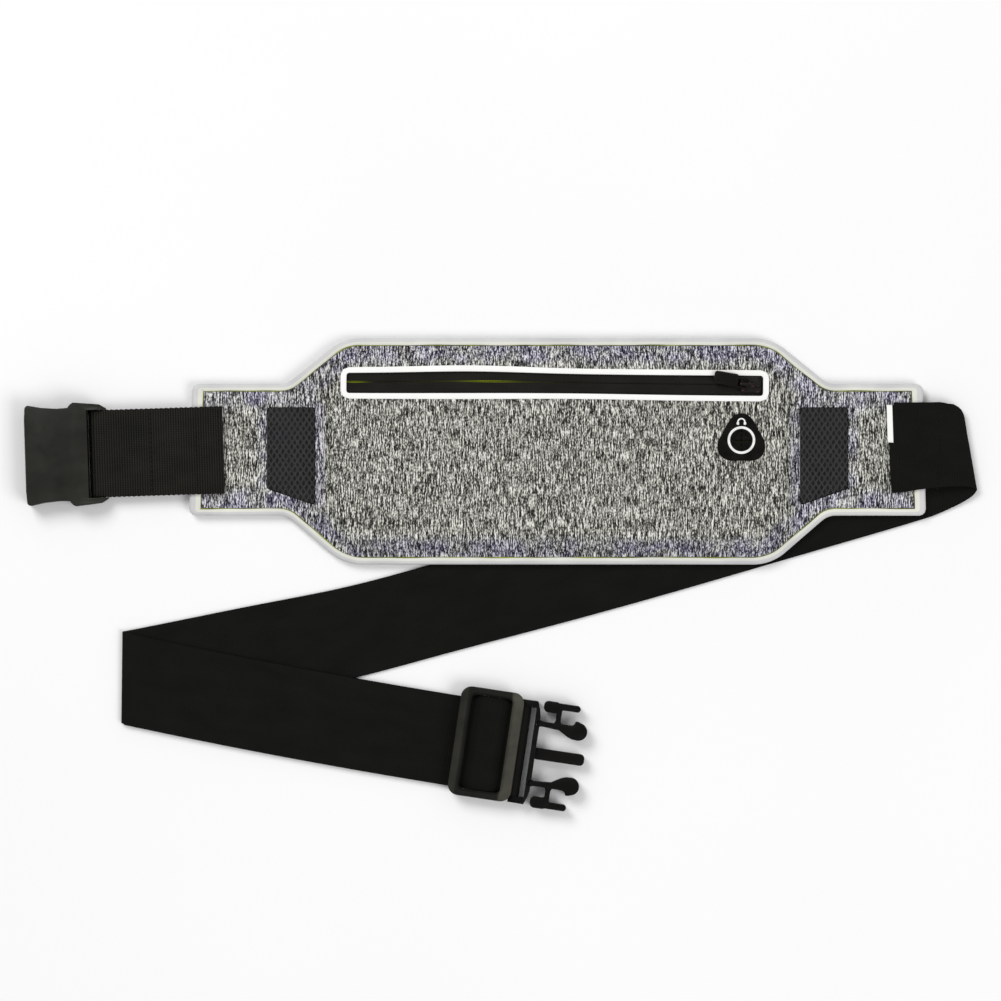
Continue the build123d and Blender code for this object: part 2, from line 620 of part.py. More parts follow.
def buckle_arm(side):
    """A springing arm: root, neck and hooked head, with a finger pad on a short stem."""
    pu, pv = ARM_PIVOT
    inner = [(pu, pv - 1.0), (16.2, 11.7), (20.4, 9.2), (22.5, 8.5), (24.9, 8.4), (25.0, 10)]
    neck = polygon(*inner, (23.2, 14.5), (16.0, 14.3), (pu, pv + 1.0))
    head = Pos(24.9, 12.2) * Circle(3.85)
    hook = polygon((21.8, 14.3), (22.4, 15.5), (23.4, 16.5), (24.9, 16.3), (24.9, 12))
    notch = Pos(21.6, 15.9) * Circle(1.35)
    stem = polygon((13.7, 14.2), (17.0, 14.2), (16.4, 15.6), (16.5, 21.5), (14.0, 21.5), (14.3, 15.6))
    pad = Pos(12.0, 21.3) * RectangleRounded(7.6, 4.9, 2.1)
    pad += Pos(17.8, 22.0) * RectangleRounded(13.2, 2.8, 1.35)
    face = neck + head + hook - notch + stem + pad
    face = offset(offset(face, ARM_HOLLOW), -ARM_HOLLOW)
    face = offset(offset(face, -ARM_ROUND), ARM_ROUND) + Pos(pu, pv) * Circle(ARM_ROOT_RADIUS)
    if side < 0:
        face = mirror(face, Plane.XZ)
    return PLUG_FRAME * slab(face, -ARM_HALF_THICK, ARM_HALF_THICK)


# ---------------------------------------------------------------- assembly
def build_parts():
    tab_lean = math.degrees(math.atan2(TAB_HEADING.Y, TAB_HEADING.X))
    tab_frame = along(TAB_START, tab_lean)
    parts = {
        "front_panel": front_panel(),
        "back_panel": back_panel(),
        "pocket_lining": pocket_lining(),
        "edge_binding": edge_binding(),
        "mesh_window_left": mesh_window(-1),
        "mesh_window_right": mesh_window(1),
        "zip_frame": on_zip_line(zip_frame()),
        "zip_tape_upper": on_zip_line(zip_tape(1)),
        "zip_tape_lower": on_zip_line(zip_tape(-1)),
        "zip_coil_upper": on_zip_line(zip_coil(1)),
        "zip_coil_lower": on_zip_line(zip_coil(-1)),
        "zip_stop_left": on_zip_line(zip_stop(-1)),
        "zip_stop_right": on_zip_line(zip_stop(1)),
        "zip_slider": on_zip_line(zip_slider()),
        "zip_puller": on_zip_line(zip_puller()),
        "port_patch": port_patch(),
        "port_ring": port_ring(),
        "headphone_mark": headphone_mark(),
        "left_webbing": left_webbing(),
        "webbing_stitches": Compound(
            stitch_rows(WEBBING_FRAME, WEBBING_SEAMS, WEBBING_WIDTH / 2 - 1, WEBBING_TOP)
        ),
        "buckle_socket": buckle_socket(),
        "strap_sewn_end": strap_sewn_end(),
        "strap_right_turn": RIGHT_TURN.solid(STRAP_WIDTH),
        "strap_long_run": strap_long_run(),
        "strap_left_fold": LEFT_TURN.solid(STRAP_WIDTH),
        "strap_short_run": strap_short_run(),
        "strap_plug_turn": plug_turn(),
        "strap_stitches": Compound(stitch_rows(tab_frame, TAB_SEAMS, STRAP_WIDTH / 2 - 1, TAB_HIGH)),
        "tab_label": tab_label(),
        "adjuster": adjuster(),
        "adjuster_strap_loop": adjuster_strap_loop(),
        "buckle_plug": buckle_plug(),
        "buckle_arm_upper": buckle_arm(1),
        "buckle_arm_lower": buckle_arm(-1),
    }
    for number in range(4):
        parts[f"port_flap_{number + 1}"] = port_flap(number)
    return parts


def middle_of(parts):
    """The middle of the pack seen from above, at table height."""
    box = Compound(list(parts.values())).bounding_box()
    centre = box.center()
    return Vector(centre.X, centre.Y, box.min.Z)


PARTS = build_parts()
ORIGIN = middle_of(PARTS)

os.makedirs("parts", exist_ok=True)
for name, part in PARTS.items():
    export_step(Pos(-ORIGIN.X, -ORIGIN.Y, -ORIGIN.Z) * part, f"parts/{name}.step")
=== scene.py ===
import math

import bmesh
import bpy
import numpy as np
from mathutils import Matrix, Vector
from mathutils.geometry import delaunay_2d_cdt


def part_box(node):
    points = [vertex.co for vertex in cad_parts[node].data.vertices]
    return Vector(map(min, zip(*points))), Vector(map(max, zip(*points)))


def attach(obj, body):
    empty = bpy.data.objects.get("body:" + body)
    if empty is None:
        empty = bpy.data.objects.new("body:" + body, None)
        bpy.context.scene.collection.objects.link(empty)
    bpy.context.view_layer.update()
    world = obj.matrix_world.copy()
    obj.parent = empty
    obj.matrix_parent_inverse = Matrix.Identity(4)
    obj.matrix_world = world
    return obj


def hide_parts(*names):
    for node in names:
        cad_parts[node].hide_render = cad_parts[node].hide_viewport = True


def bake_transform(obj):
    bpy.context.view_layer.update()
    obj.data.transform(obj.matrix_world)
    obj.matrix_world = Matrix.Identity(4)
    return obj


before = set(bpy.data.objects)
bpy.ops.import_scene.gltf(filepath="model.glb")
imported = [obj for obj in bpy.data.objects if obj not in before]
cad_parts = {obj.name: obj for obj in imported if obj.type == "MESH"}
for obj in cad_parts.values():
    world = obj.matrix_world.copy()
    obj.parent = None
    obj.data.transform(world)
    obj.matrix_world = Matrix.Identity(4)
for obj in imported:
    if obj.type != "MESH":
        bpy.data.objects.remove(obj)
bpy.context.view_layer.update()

# A running waist pack that lies on its back. Lengths below are millimetres about the middle of the
# pouch, as in the CAD, and place() turns them into metres in the scene.
MM = 0.001


def box_mm(node):
    low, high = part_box(node)
    return np.array(low) / MM, np.array(high) / MM


BINDING_LOW, BINDING_HIGH = box_mm("edge_binding")
CENTRE = (BINDING_LOW + BINDING_HIGH) / 2
CENTRE[2] = 0.0


def place(points):
    return (np.asarray(points, float) + CENTRE) * MM


def level(node):
    """(bottom, top) of a CAD node in millimetres."""
    low, high = box_mm(node)
    return low[2], high[2]


# ---- sizes ----
HALF_LENGTH, HALF_HEIGHT = 161.5, 50.0
EAR_TOP, EAR_LOW, EAR_FLARE = 29.8, -28.4, 1.4
SHOULDER_X, EAR_START_X = 94.5, 119.5
BINDING_WIDTH, EAR_BINDING_WIDTH = 3.0, 5.0
BACK_BOTTOM, FLANGE_BOTTOM = level("back_panel")
BINDING_BOTTOM, BINDING_TOP = level("edge_binding")
SKIN = BACK_BOTTOM - BINDING_BOTTOM
FLANGE_TOP = BINDING_TOP - SKIN
POUCH_TOP = level("zip_frame")[0]
PANEL_THICK = 0.9
# The pocket swells up from an octagon, given by its corners in the first quadrant, within RISE.
FOOT = ((105.5, 35.5), (92.5, 46.1))
RISE = 9.0

ZIP_X, ZIP_Y, ZIP_TURN = -1.3, 29.5, -0.4
CHAIN_RISE = 0.5
# The bows of the zip's two sides: height, place along the zip, width and shift.
ZIP_UPPER_BOW, ZIP_LOWER_BOW = (1.25, -37, 34, -0.4), (0.55, 6, 40, 0.28)
ZIP_OPEN = (183.6, 9.3)
ZIP_FRAME_WIDTH = 2.6
PORT = (80.9, 4.9)
PORT_HOLE = 5.5
# The right window; the left one is its mirror image.
WINDOW = ((107.0, 19.5), (128.5, 19.5), (128.5, -16.5), (107.0, -24.0))

SOCKET_BAR_AT, SOCKET_BAR_Z, SOCKET_BAR_RADIUS = (-203.9, -1.1), 2.95, 1.35
WEBBING_SLOPE, WEBBING_WIDTH, WEBBING_THICK = 1.8, 38.0, 1.4
WEBBING_REACH, WEBBING_RETURN = 56.4, 27.0
WEBBING_SEAMS = (24.4, 44.5, 54.5)

STRAP_WIDTH, STRAP_THICK = 39.5, 1.2
TAB_START, TAB_SEAMS = (146.7, 1.7), (3.6, 12.4, 22.0)
RIGHT_FOLD, LEFT_FOLD = (182.0, 0.0), (-192.7, -100.2)
LONG_RUN_SAG = 6.8
PLUG_BAR_AT, PLUG_TURN, PLUG_BAR_RADIUS = (-17.2, -132.3), -8.5, 1.2
ADJUSTER_BAR_TOP = 5.2
LAYER_GAP, UPPER_GAP = 0.1, 0.075
SHORT_BOTTOM, SHORT_TOP = level("strap_short_run")
TAB_LOW, TAB_HIGH = level("strap_sewn_end")
PLUG_BAR_Z = SHORT_TOP + LAYER_GAP + PLUG_BAR_RADIUS
UPPER_LAYER = SHORT_TOP + UPPER_GAP + STRAP_THICK / 2


# ---- lines and directions ----
def unit(vectors):
    """The same directions with a length of one."""
    vectors = np.asarray(vectors, float)
    return vectors / np.linalg.norm(vectors, axis=-1, keepdims=True)


def lengths_along(path):
    """How far along a path each of its points is."""
    return np.concatenate([[0], np.cumsum(np.linalg.norm(np.diff(path, axis=0), axis=1))])


def at_lengths(path, want):
    """The points that lie at the wanted distances along a path."""
    gone = lengths_along(path)
    return np.stack([np.interp(want, gone, column) for column in path.T], 1)


def heading(degrees):
    """The direction at an angle in the plane of the floor."""
    return np.array([math.cos(math.radians(degrees)), math.sin(math.radians(degrees))])


def bump_at(x, height, middle, width, base=0.0):
    """A smooth bump of a given height on a level base."""
    return base + height * np.exp(-(((x - middle) / width) ** 2))


def round_turns(count):
    """Even turns round a circle, in radians."""
    return np.linspace(0, 2 * math.pi, count, endpoint=False)


# ---- mesh helpers ----
def new_mesh(name, points, faces):
    """A mesh object from points in the CAD's millimetres."""
    mesh = bpy.data.meshes.new(name)
    mesh.from_pydata(place(points).tolist(), [], [list(f) for f in faces])
    mesh.validate()
    obj = bpy.data.objects.new(name, mesh)
    bpy.context.scene.collection.objects.link(obj)
    tidy_normals(mesh)
    smooth_faces(mesh)
    return obj


def smooth_faces(mesh):
    for face in mesh.polygons:
        face.use_smooth = True


def tidy_normals(mesh):
    work = bmesh.new()
    work.from_mesh(mesh)
    bmesh.ops.recalc_face_normals(work, faces=work.faces)
    work.to_mesh(mesh)
    work.free()


def ring_faces(first, count, sides, closed=False):
    """The faces between a row of rings of points, and the caps of an open row."""
    faces = []
    for i in range(count if closed else count - 1):
        a, b = first + i * sides, first + (i + 1) % count * sides
        faces += [(a + j, a + (j + 1) % sides, b + (j + 1) % sides, b + j) for j in range(sides)]
    if not closed:
        last = first + (count - 1) * sides
        faces += [range(first, first + sides), range(last, last + sides)]
    return faces


def swept(name, loops, closed=False):
    """A solid through a row of loops, which all have the same number of points."""
    loops = np.asarray(loops, float)
    faces = ring_faces(0, *loops.shape[:2], closed)
    return new_mesh(name, loops.reshape(-1, 3), faces)


def modifier(obj, kind, **settings):
    """Adds a modifier."""
    made = obj.modifiers.new(kind.title(), kind)
    for key, value in settings.items():
        setattr(made, key, value)


def cloth(name, points, height, faces, thick, offset=-1.0, **settings):
    """A sheet of fabric or rubber over flat points, with its upper face at the given height."""
    obj = new_mesh(name, np.column_stack([points, height]), faces)
    if obj.data.polygons[0].normal.z < 0:
        obj.data.flip_normals()
    modifier(obj, "SOLIDIFY", thickness=thick * MM, offset=offset, **settings)
    return obj


def attribute(obj, name, values, kind="FLOAT"):
    """Stores a value or a vector at each point, for the materials to read."""
    layer = obj.data.attributes.new(name, kind, "POINT")
    key = "value" if kind == "FLOAT" else "vector"
    layer.data.foreach_set(key, np.asarray(values, np.float32).ravel())


def finish_piece(obj, body, slot, material, *nodes):
    """Gives a piece its material, hides the CAD nodes it stands for, and lets it ride on its body."""
    obj.data.materials.clear()
    obj.data.materials.append(material)
    if nodes:
        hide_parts(*nodes)
    if body:
        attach(obj, body)


def rounded(points, radii, step=1.0):
    """A polygon's outline with arcs at its corners: its points and their outward normals."""
    count = len(points)
    out, normals = [], []
    for i in range(count):
        p0, p1, p2 = (np.array(points[(i + s) % count], float) for s in (-1, 0, 1))
        a, b = unit(p0 - p1), unit(p2 - p1)
        half = math.acos(np.clip(a @ b, -1, 1)) / 2
        radius = radii[i]
        middle = p1 + unit(a + b) * radius / math.sin(half)
        start, end = p1 + a * radius / math.tan(half), p1 + b * radius / math.tan(half)
        turn0 = math.atan2(*(start - middle)[::-1])
        turn1 = math.atan2(*(end - middle)[::-1])
        sweep = (turn1 - turn0 + math.pi) % (2 * math.pi) - math.pi
        steps = max(3, int(abs(sweep) * radius / step) + 2)
        convex = a[0] * b[1] - a[1] * b[0] < 0
        for s in range(steps):
            ray = heading(math.degrees(turn0 + sweep * s / (steps - 1)))
            out.append(middle + ray * radius)
            normals.append(ray if convex else -ray)
    return spread(np.array(out), np.array(normals), step)


def spread(points, normals, step):
    """Adds points along the straight stretches of an outline, so that none is longer than step."""
    out, turned = [], []
    for i in range(len(points)):
        j = (i + 1) % len(points)
        count = max(1, int(np.linalg.norm(points[j] - points[i]) / step))
        for s in range(count):
            out.append(points[i] + (points[j] - points[i]) * s / count)
            turned.append(normals[i] if s == 0 else normals[i] + (normals[j] - normals[i]) * s / count)
    return np.array(out), unit(turned)


def mirrored(quarter):
    """A symmetric outline, anticlockwise, from its corners in the first quadrant."""
    second = [(-x, y) for x, y in reversed(quarter)]
    third = [(-x, -y) for x, y in quarter]
    return quarter + second + third + [(x, -y) for x, y in reversed(quarter)]


def wave(x, y, seed, size):
    """Smooth noise from -1 to 1 over the plane, as a sum of sines."""
    made = np.random.default_rng(seed)
    total = 0.0
    for octave in range(5):
        turn, phase = made.uniform(0, 2 * math.pi, 2)
        pitch = size / (1 + 0.55 * octave)
        total = total + np.sin((x * math.cos(turn) + y * math.sin(turn)) * 2 * math.pi / pitch + phase)
    return total / 3.2


# ---- materials ----
class Paint:
    """A node material with one Principled shader, and short ways to add nodes to it."""

    def __init__(self, name, **sockets):
        self.material = bpy.data.materials.new(name)
        self.material.use_nodes = True
        self.tree = self.material.node_tree
        self.shader = self.tree.nodes["Principled BSDF"]
        self.places = self.add("ShaderNodeTexCoord").outputs["Object"]
        self.set(**sockets)

    def set(self, **sockets):
        for name, value in sockets.items():
            socket = self.shader.inputs[name.replace("_", " ")]
            if isinstance(value, bpy.types.NodeSocket):
                self.tree.links.new(value, socket)
            else:
                socket.default_value = value

    def add(self, kind, inputs=(), **settings):
        made = self.tree.nodes.new(kind)
        for key, value in settings.items():
            setattr(made, key, value)
        for key, value in dict(inputs).items():
            if isinstance(value, bpy.types.NodeSocket):
                self.tree.links.new(value, made.inputs[key])
            else:
                made.inputs[key].default_value = value
        return made

    def scaled(self, scale, source=None):
        scale = scale if isinstance(scale, tuple) else (scale, scale, scale)
        inputs = {"Vector": source or self.places, "Scale": scale}
        return self.add("ShaderNodeMapping", inputs).outputs["Vector"]

    def noise(self, scale, source=None, detail=2.0, rough=0.5):
        """Noise whose grain is 1 / scale metres, along each axis or along all."""
        where = self.scaled(scale, source)
        inputs = {"Vector": where, "Scale": 1.0, "Detail": detail, "Roughness": rough}
        return self.add("ShaderNodeTexNoise", inputs).outputs["Fac"]

    def bands(self, scale, **settings):
        """Even waves, scale to the metre along one axis."""
        inputs = {"Vector": self.scaled(scale), "Scale": 1.0}
        return self.add("ShaderNodeTexWave", inputs, **settings).outputs["Fac"]

    def maths(self, operation, a, b=0.0, c=0.0):
        return self.add("ShaderNodeMath", {0: a, 1: b, 2: c}, operation=operation).outputs[0]

    def span(self, value, low, high, out_low=0.0, out_high=1.0):
        inputs = {"Value": value, "From Min": low, "From Max": high, "To Min": out_low, "To Max": out_high}
        return self.add("ShaderNodeMapRange", inputs).outputs["Result"]

    def ramp(self, value, *stops):
        made = self.add("ShaderNodeValToRGB", {"Fac": value})
        bar = made.color_ramp.elements
        while len(bar) < len(stops):
            bar.new(1.0)
        for element, (where, colour) in zip(bar, stops):
            element.position = where
            element.color = (*linear(colour), 1.0)
        return made.outputs["Color"]

    def mix(self, share, a, b):
        return self.add("ShaderNodeMix", {0: share, 6: a, 7: b}, data_type="RGBA").outputs[2]

    def axes(self, source):
        return self.add("ShaderNodeSeparateXYZ", {"Vector": source}).outputs

    def line(self, name):
        """A stored attribute of the mesh: its factor and its vector."""
        made = self.add("ShaderNodeAttribute", attribute_name=name)
        return made.outputs["Fac"], made.outputs["Vector"]

    def bump(self, height, distance, strength=1.0):
        inputs = {"Height": height, "Distance": distance, "Strength": strength}
        self.set(Normal=self.add("ShaderNodeBump", inputs).outputs["Normal"])


def linear(colour):
    """A colour in 0 to 255 as the eye sees it, in the linear values that a shader takes."""
    return tuple(c / 255 / 12.92 if c <= 10 else ((c / 255 + 0.055) / 1.055) ** 2.4 for c in colour)


def knit_paint():
    """Heathered knit: fine wales along Y, with dark and pale yarn in short streaks."""
    paint = Paint("heathered_knit", Roughness=0.92, Specular_IOR_Level=0.15)
    streaks = paint.noise((1750, 200, 300), detail=3.0, rough=0.66)
    grain = paint.noise((2300, 900, 600), detail=1.0)
    broad = paint.noise((160, 60, 60), detail=2.0)
    mixed = paint.maths("MULTIPLY_ADD", grain, 0.34, paint.maths("MULTIPLY", streaks, 0.66))
    mixed = paint.maths("MULTIPLY_ADD", broad, 0.06, paint.maths("SUBTRACT", mixed, 0.03))
    yarn = paint.span(mixed, 0.36, 0.64)
    grey = ((0.18, (20, 20, 18)), (0.4, (70, 70, 65)), (0.58, (150, 150, 142)), (0.84, (238, 238, 229)))
    lilac = ((0.18, (24, 23, 36)), (0.4, (68, 66, 84)), (0.58, (146, 144, 160)), (0.84, (234, 233, 243)))
    patches = paint.span(paint.noise(110, detail=1.0), 0.38, 0.62, 0.35, 1.0)
    tinted = paint.maths("MULTIPLY", paint.line("border")[0], patches)
    paint.set(Base_Color=paint.mix(tinted, paint.ramp(yarn, *grey), paint.ramp(yarn, *lilac)))
    paint.bump(paint.maths("MULTIPLY_ADD", paint.bands((180, 0, 0)), 0.5, mixed), 0.00025, 0.6)
    return paint.material


def plain_knit_paint():
    """The back's smooth dark knit."""
    paint = Paint("back_knit", Roughness=0.9, Specular_IOR_Level=0.2)
    tone = paint.noise((900, 400, 400), detail=3.0)
    paint.set(Base_Color=paint.ramp(tone, (0.3, (34, 34, 34)), (0.7, (56, 56, 57))))
    wales, rows = paint.bands((160, 0, 0)), paint.bands((0, 120, 0), bands_direction="Y")
    paint.bump(paint.maths("ADD", wales, rows), 0.0002, 0.6)
    return paint.material


def reflective_paint(name, low, high):
    """White reflective film: fine glass beads that dull and yellow a little in patches."""
    paint = Paint(name, Roughness=0.5, Specular_IOR_Level=0.4)
    tone = paint.noise(60, detail=3.0)
    paint.set(Base_Color=paint.ramp(tone, (0.35, low), (0.65, high)))
    beads, backing = paint.noise(2800, detail=1.0), paint.noise(700)
    paint.bump(paint.maths("ADD", beads, backing), 0.00008, 0.5)
    return paint.material


def binding_paint():
    """Grey reflective tape whose inner part is a paler, creamier film."""
    paint = Paint("binding_tape", Roughness=0.5, Specular_IOR_Level=0.4)
    patch = paint.noise(60, detail=3.0)
    grey = paint.ramp(patch, (0.35, (196, 196, 198)), (0.65, (212, 212, 211)))
    cream = paint.ramp(patch, (0.35, (217, 217, 207)), (0.65, (232, 232, 221)))
    share = paint.span(paint.line("inner")[0], 0.5, 0.62)
    paint.set(Base_Color=paint.mix(share, grey, cream))
    paint.bump(paint.noise(900, detail=3.0), 0.00008, 0.5)
    return paint.material


def weave_paint(name, dark, light, along, across, depth, rough=0.85, contrast=0.12, shine=0.12, bare=None):
    """Woven tape or strap. along and across are the pitches of its ribs in millimetres. bare is
    the colour of the cloth where its coating ends, as the attribute of that name says."""
    paint = Paint(name, Roughness=rough, Specular_IOR_Level=shine)
    where = paint.line("strap")[1]
    axes = paint.axes(where)
    rib = paint.maths("SINE", paint.maths("MULTIPLY", axes["X"], 2 * math.pi / along))
    pick = paint.maths("SINE", paint.maths("MULTIPLY", axes["Y"], 2 * math.pi / across))
    weave = paint.maths("MULTIPLY_ADD", pick, 0.45, rib)
    fuzz = paint.noise(2.2, where, detail=2.0)
    slow = paint.noise((0.06, 0.12, 0.1), where, detail=2.0)
    tone = paint.maths("MULTIPLY_ADD", weave, contrast, paint.maths("MULTIPLY_ADD", slow, 0.6, 0.2))
    tone = paint.maths("MULTIPLY_ADD", fuzz, 0.3, paint.maths("SUBTRACT", tone, 0.15))
    colour = paint.ramp(tone, (0.2, dark), (0.8, light))
    if bare:
        dyed = paint.ramp(tone, (0.2, bare[0]), (0.8, bare[1]))
        colour = paint.mix(paint.line("bare")[0], colour, dyed)
    paint.set(Base_Color=colour)
    paint.bump(paint.maths("MULTIPLY_ADD", fuzz, 0.5, weave), depth * MM, 0.8)
    return paint.material


def moulded_grain(paint, rough, *scratches):
    """The fine grain of a spark-eroded mould, with a slightly uneven polish."""
    polish = paint.noise(240, detail=3.0)
    paint.set(Roughness=paint.span(polish, 0.3, 0.7, rough - 0.08, rough + 0.1))
    height = paint.noise(5200)
    for marks in scratches:
        height = paint.maths("MULTIPLY_ADD", paint.noise(marks), 0.4, height)
    paint.bump(height, 0.00003, 0.6)


def moulded_paint(name, dark, light, rough=0.42, shine=0.25):
    """Moulded plastic: cloudy, lightly scratched, and paler along its sharp convex edges."""
    paint = Paint(name, Specular_IOR_Level=shine)
    edge = paint.add("ShaderNodeNewGeometry").outputs["Pointiness"]
    tone = paint.maths("ADD", paint.noise(70, detail=4.0), paint.span(edge, 0.52, 0.6, 0.0, 0.5))
    paint.set(Base_Color=paint.ramp(tone, (0.35, dark), (0.95, light)))
    moulded_grain(paint, rough, (2600, 130, 500))
    return paint.material


def adjuster_paint():
    """Moulded plastic like the buckle's, with painted light: the bar next to the plug is painted paler as a
    lit face, and the far edge gets a fainter painted highlight.
    """
    paint = Paint("adjuster_plastic", Specular_IOR_Level=0.15)
    cloud = paint.noise(70, detail=4.0)
    body = paint.ramp(cloud, (0.35, (12, 12, 10)), (0.7, (26, 26, 22)))
    # Painted highlight colour: the paler tone of the lit bar and edge.
    painted_lit_tone = paint.ramp(cloud, (0.35, (52, 51, 45)), (0.7, (76, 75, 66)))
    axes, ahead = paint.axes(paint.places), heading(PLUG_TURN)
    start = -float(ahead @ place((*PLUG_BAR_AT, 0))[:2])
    along = paint.maths("MULTIPLY_ADD", axes["X"], ahead[0], start)
    along = paint.maths("MULTIPLY_ADD", axes["Y"], ahead[1], along)
    # Where the painted highlight falls: full on the bar next to the plug, at 0.3 along the far edge.
    lit_bar_span, highlight_edge_span = (-6.6 * MM, -5.4 * MM), (-25.3 * MM, -25.9 * MM)
    left = paint.maths("MULTIPLY", paint.span(along, *highlight_edge_span), 0.3)
    share = paint.maths("MAXIMUM", paint.span(along, *lit_bar_span), left)
    paint.set(Base_Color=paint.mix(share, body, painted_lit_tone))
    moulded_grain(paint, 0.48)
    return paint.material


def cloudy_paint(name, cloud, dark, light, grain, depth, strength=0.6, ends=(0.3, 0.75), **sockets):
    """A finish whose tone drifts from dark to light, with a fine grain of its own."""
    paint = Paint(name, **sockets)
    tone = paint.noise(cloud, detail=3.0)
    paint.set(Base_Color=paint.ramp(tone, (ends[0], dark), (ends[1], light)))
    paint.bump(paint.noise(grain), depth, strength)
    return paint.material


def slider_paint():
    """Black lacquer on copper-red brass, bare in small spots that are painted bright as the slider's glints.
    """
    paint = Paint("slider_lacquer", Specular_IOR_Level=0.15)
    # Small copper-red spots: bare metal, painted bright as glints.
    wear_and_glint = paint.span(paint.noise(420, detail=3.0, rough=0.6), 0.6, 0.66)
    grain = paint.noise(1600, detail=2.0)
    lacquer = paint.ramp(grain, (0.3, (14, 12, 11)), (0.7, (30, 27, 25)))
    copper = paint.ramp(grain, (0.3, (104, 68, 58)), (0.7, (156, 104, 88)))
    paint.set(Base_Color=paint.mix(wear_and_glint, lacquer, copper), Metallic=paint.span(wear_and_glint, 0, 1, 0.0, 0.6))
    paint.set(Roughness=paint.span(grain, 0.3, 0.7, 0.28, 0.42))
    paint.bump(grain, 0.00002, 0.5)
    return paint.material


def dyed_paint(name, dark, light):
    """Matt dyed cloth, thread or nylon."""
    paint = Paint(name, Roughness=0.8, Specular_IOR_Level=0.15)
    tone = paint.noise(90, detail=4.0, rough=0.6)
    paint.set(Base_Color=paint.ramp(tone, (0.35, dark), (0.65, light)))
    paint.bump(paint.noise(2400), 0.00006, 0.6)
    return paint.material


KNIT = knit_paint()
BACK_KNIT = plain_knit_paint()
BINDING_TAPE = binding_paint()
FRAME_FILM = reflective_paint("frame_film", (249, 249, 246), (254, 254, 252))
ELASTIC = weave_paint("elastic_weave", (8, 8, 7), (20, 20, 17), 0.9, 1.1, 0.06)
WEBBING = weave_paint("nylon_webbing", (8, 8, 7), (38, 37, 32), 1.1, 1.0, 0.12, 0.6, 0.3, 0.1)
ZIP_LIME = ((96, 104, 20), (168, 180, 38))
ZIP_TAPE = weave_paint("zip_tape", (18, 18, 16), (36, 35, 31), 0.7, 0.5, 0.05, bare=ZIP_LIME)
BUCKLE = moulded_paint("buckle_plastic", (6, 6, 5), (20, 19, 17), 0.5, 0.08)
SOCKET = moulded_paint("socket_plastic", (22, 22, 18), (44, 44, 38))
ADJUSTER = adjuster_paint()
RUBBER = cloudy_paint(
    "port_rubber", 180, (6, 6, 5), (22, 21, 19), 4200, 0.00004, Roughness=0.7, Specular_IOR_Level=0.08
)
PRINT = cloudy_paint(
    "white_print", 300, (226, 226, 222), (248, 248, 246), 3000, 0.00003, 0.4, (0.3, 0.6), Roughness=0.5
)
SLIDER = slider_paint()
PULLER = moulded_paint("puller_moulding", (10, 9, 8), (28, 26, 23), 0.5, 0.1)
NET = cloudy_paint(
    "window_mesh", 700, (34, 34, 35), (53, 53, 55), (3000, 1500, 3000), 0.0001, 0.7,
    Roughness=0.55, Specular_IOR_Level=0.4,
)
NET_BACK = dyed_paint("window_backing", (28, 28, 28), (40, 40, 41))
LIME_LINE = dyed_paint("seam_line", (70, 74, 30), (158, 168, 58))
LIME = dyed_paint("lime_lining", (120, 140, 20), (160, 180, 34))
COIL = dyed_paint("zip_coil", (34, 37, 14), (66, 72, 24))
THREAD = dyed_paint("thread", (10, 10, 9), (26, 26, 24))
FILM_STRIP = reflective_paint("label_film", (250, 250, 246), (254, 254, 252))


# ---- pouch fabric ----
RIGHT_SIDE = [(SHOULDER_X, -HALF_HEIGHT), (EAR_START_X, EAR_LOW), (HALF_LENGTH + EAR_FLARE, EAR_LOW)]
RIGHT_SIDE += [(HALF_LENGTH, EAR_TOP), (EAR_START_X, EAR_TOP), (SHOULDER_X, HALF_HEIGHT)]
OUTLINE_CORNERS = RIGHT_SIDE + [(-x, y) for x, y in reversed(RIGHT_SIDE)]
OUTLINE, OUTLINE_NORMALS = rounded(OUTLINE_CORNERS, [22.0, 9.0, 3.0, 3.0, 9.0, 22.0] * 2, 1.6)


def clipped_ear(points, gap=0.0):
    """Cuts a line off where the binding of an ear's end begins. That end leans a little."""
    limit = HALF_LENGTH - EAR_BINDING_WIDTH - gap
    limit = limit + EAR_FLARE * (EAR_TOP - points[:, 1]) / (EAR_TOP - EAR_LOW)
    points[:, 0] = np.clip(points[:, 0], -limit, limit)
    return points


def edge_distance(points, corners):
    """How far inside a convex polygon each point is, with its corners a little rounded off."""
    corners = np.array(corners, float)
    following = np.roll(corners, -1, axis=0)
    nearest = []
    for a, b in zip(corners, following):
        along = unit(b - a)
        nearest.append((points[:, 1] - a[1]) * along[0] - (points[:, 0] - a[0]) * along[1])
    nearest = np.array(nearest)
    blend = 2.2
    return -blend * np.log(np.exp(-np.clip(nearest, -60, 60) / blend).sum(0))


def pouch_height(points):
    """The top of the front fabric over the flat flange."""
    points = np.asarray(points, float)
    inside = np.clip(edge_distance(points, mirrored(list(FOOT))) / RISE, 0, 1)
    swell = 1 - (1 - inside) ** 2.3
    swell = swell * swell * (1.7 - 0.7 * swell)
    return FLANGE_TOP + (POUCH_TOP - FLANGE_TOP) * swell


def loop_distance(points, loop):
    """The distance from each point to a closed line."""
    best = np.full(len(points), 1e9)
    for a, b in zip(loop, np.roll(loop, -1, axis=0)):
        side = b - a
        share = np.clip(((points - a) @ side) / (side @ side), 0, 1)
        best = np.minimum(best, np.linalg.norm(points - a - share[:, None] * side, axis=1))
    return best


def rounded_rectangle(middle, size, radius, step):
    x, y = size[0] / 2, size[1] / 2
    points, normals = rounded([(x, y), (-x, y), (-x, -y), (x, -y)], [radius] * 4, step)
    return points + np.array(middle), normals


def outward(loop):
    """The outward normals of an anticlockwise closed line."""
    ahead = unit(np.roll(loop, -1, axis=0) - np.roll(loop, 1, axis=0))
    return np.stack([ahead[:, 1], -ahead[:, 0]], 1)


def circle(middle, radius, count):
    turns = round_turns(count)
    return np.stack([middle[0] + radius * np.cos(turns), middle[1] + radius * np.sin(turns)], 1)


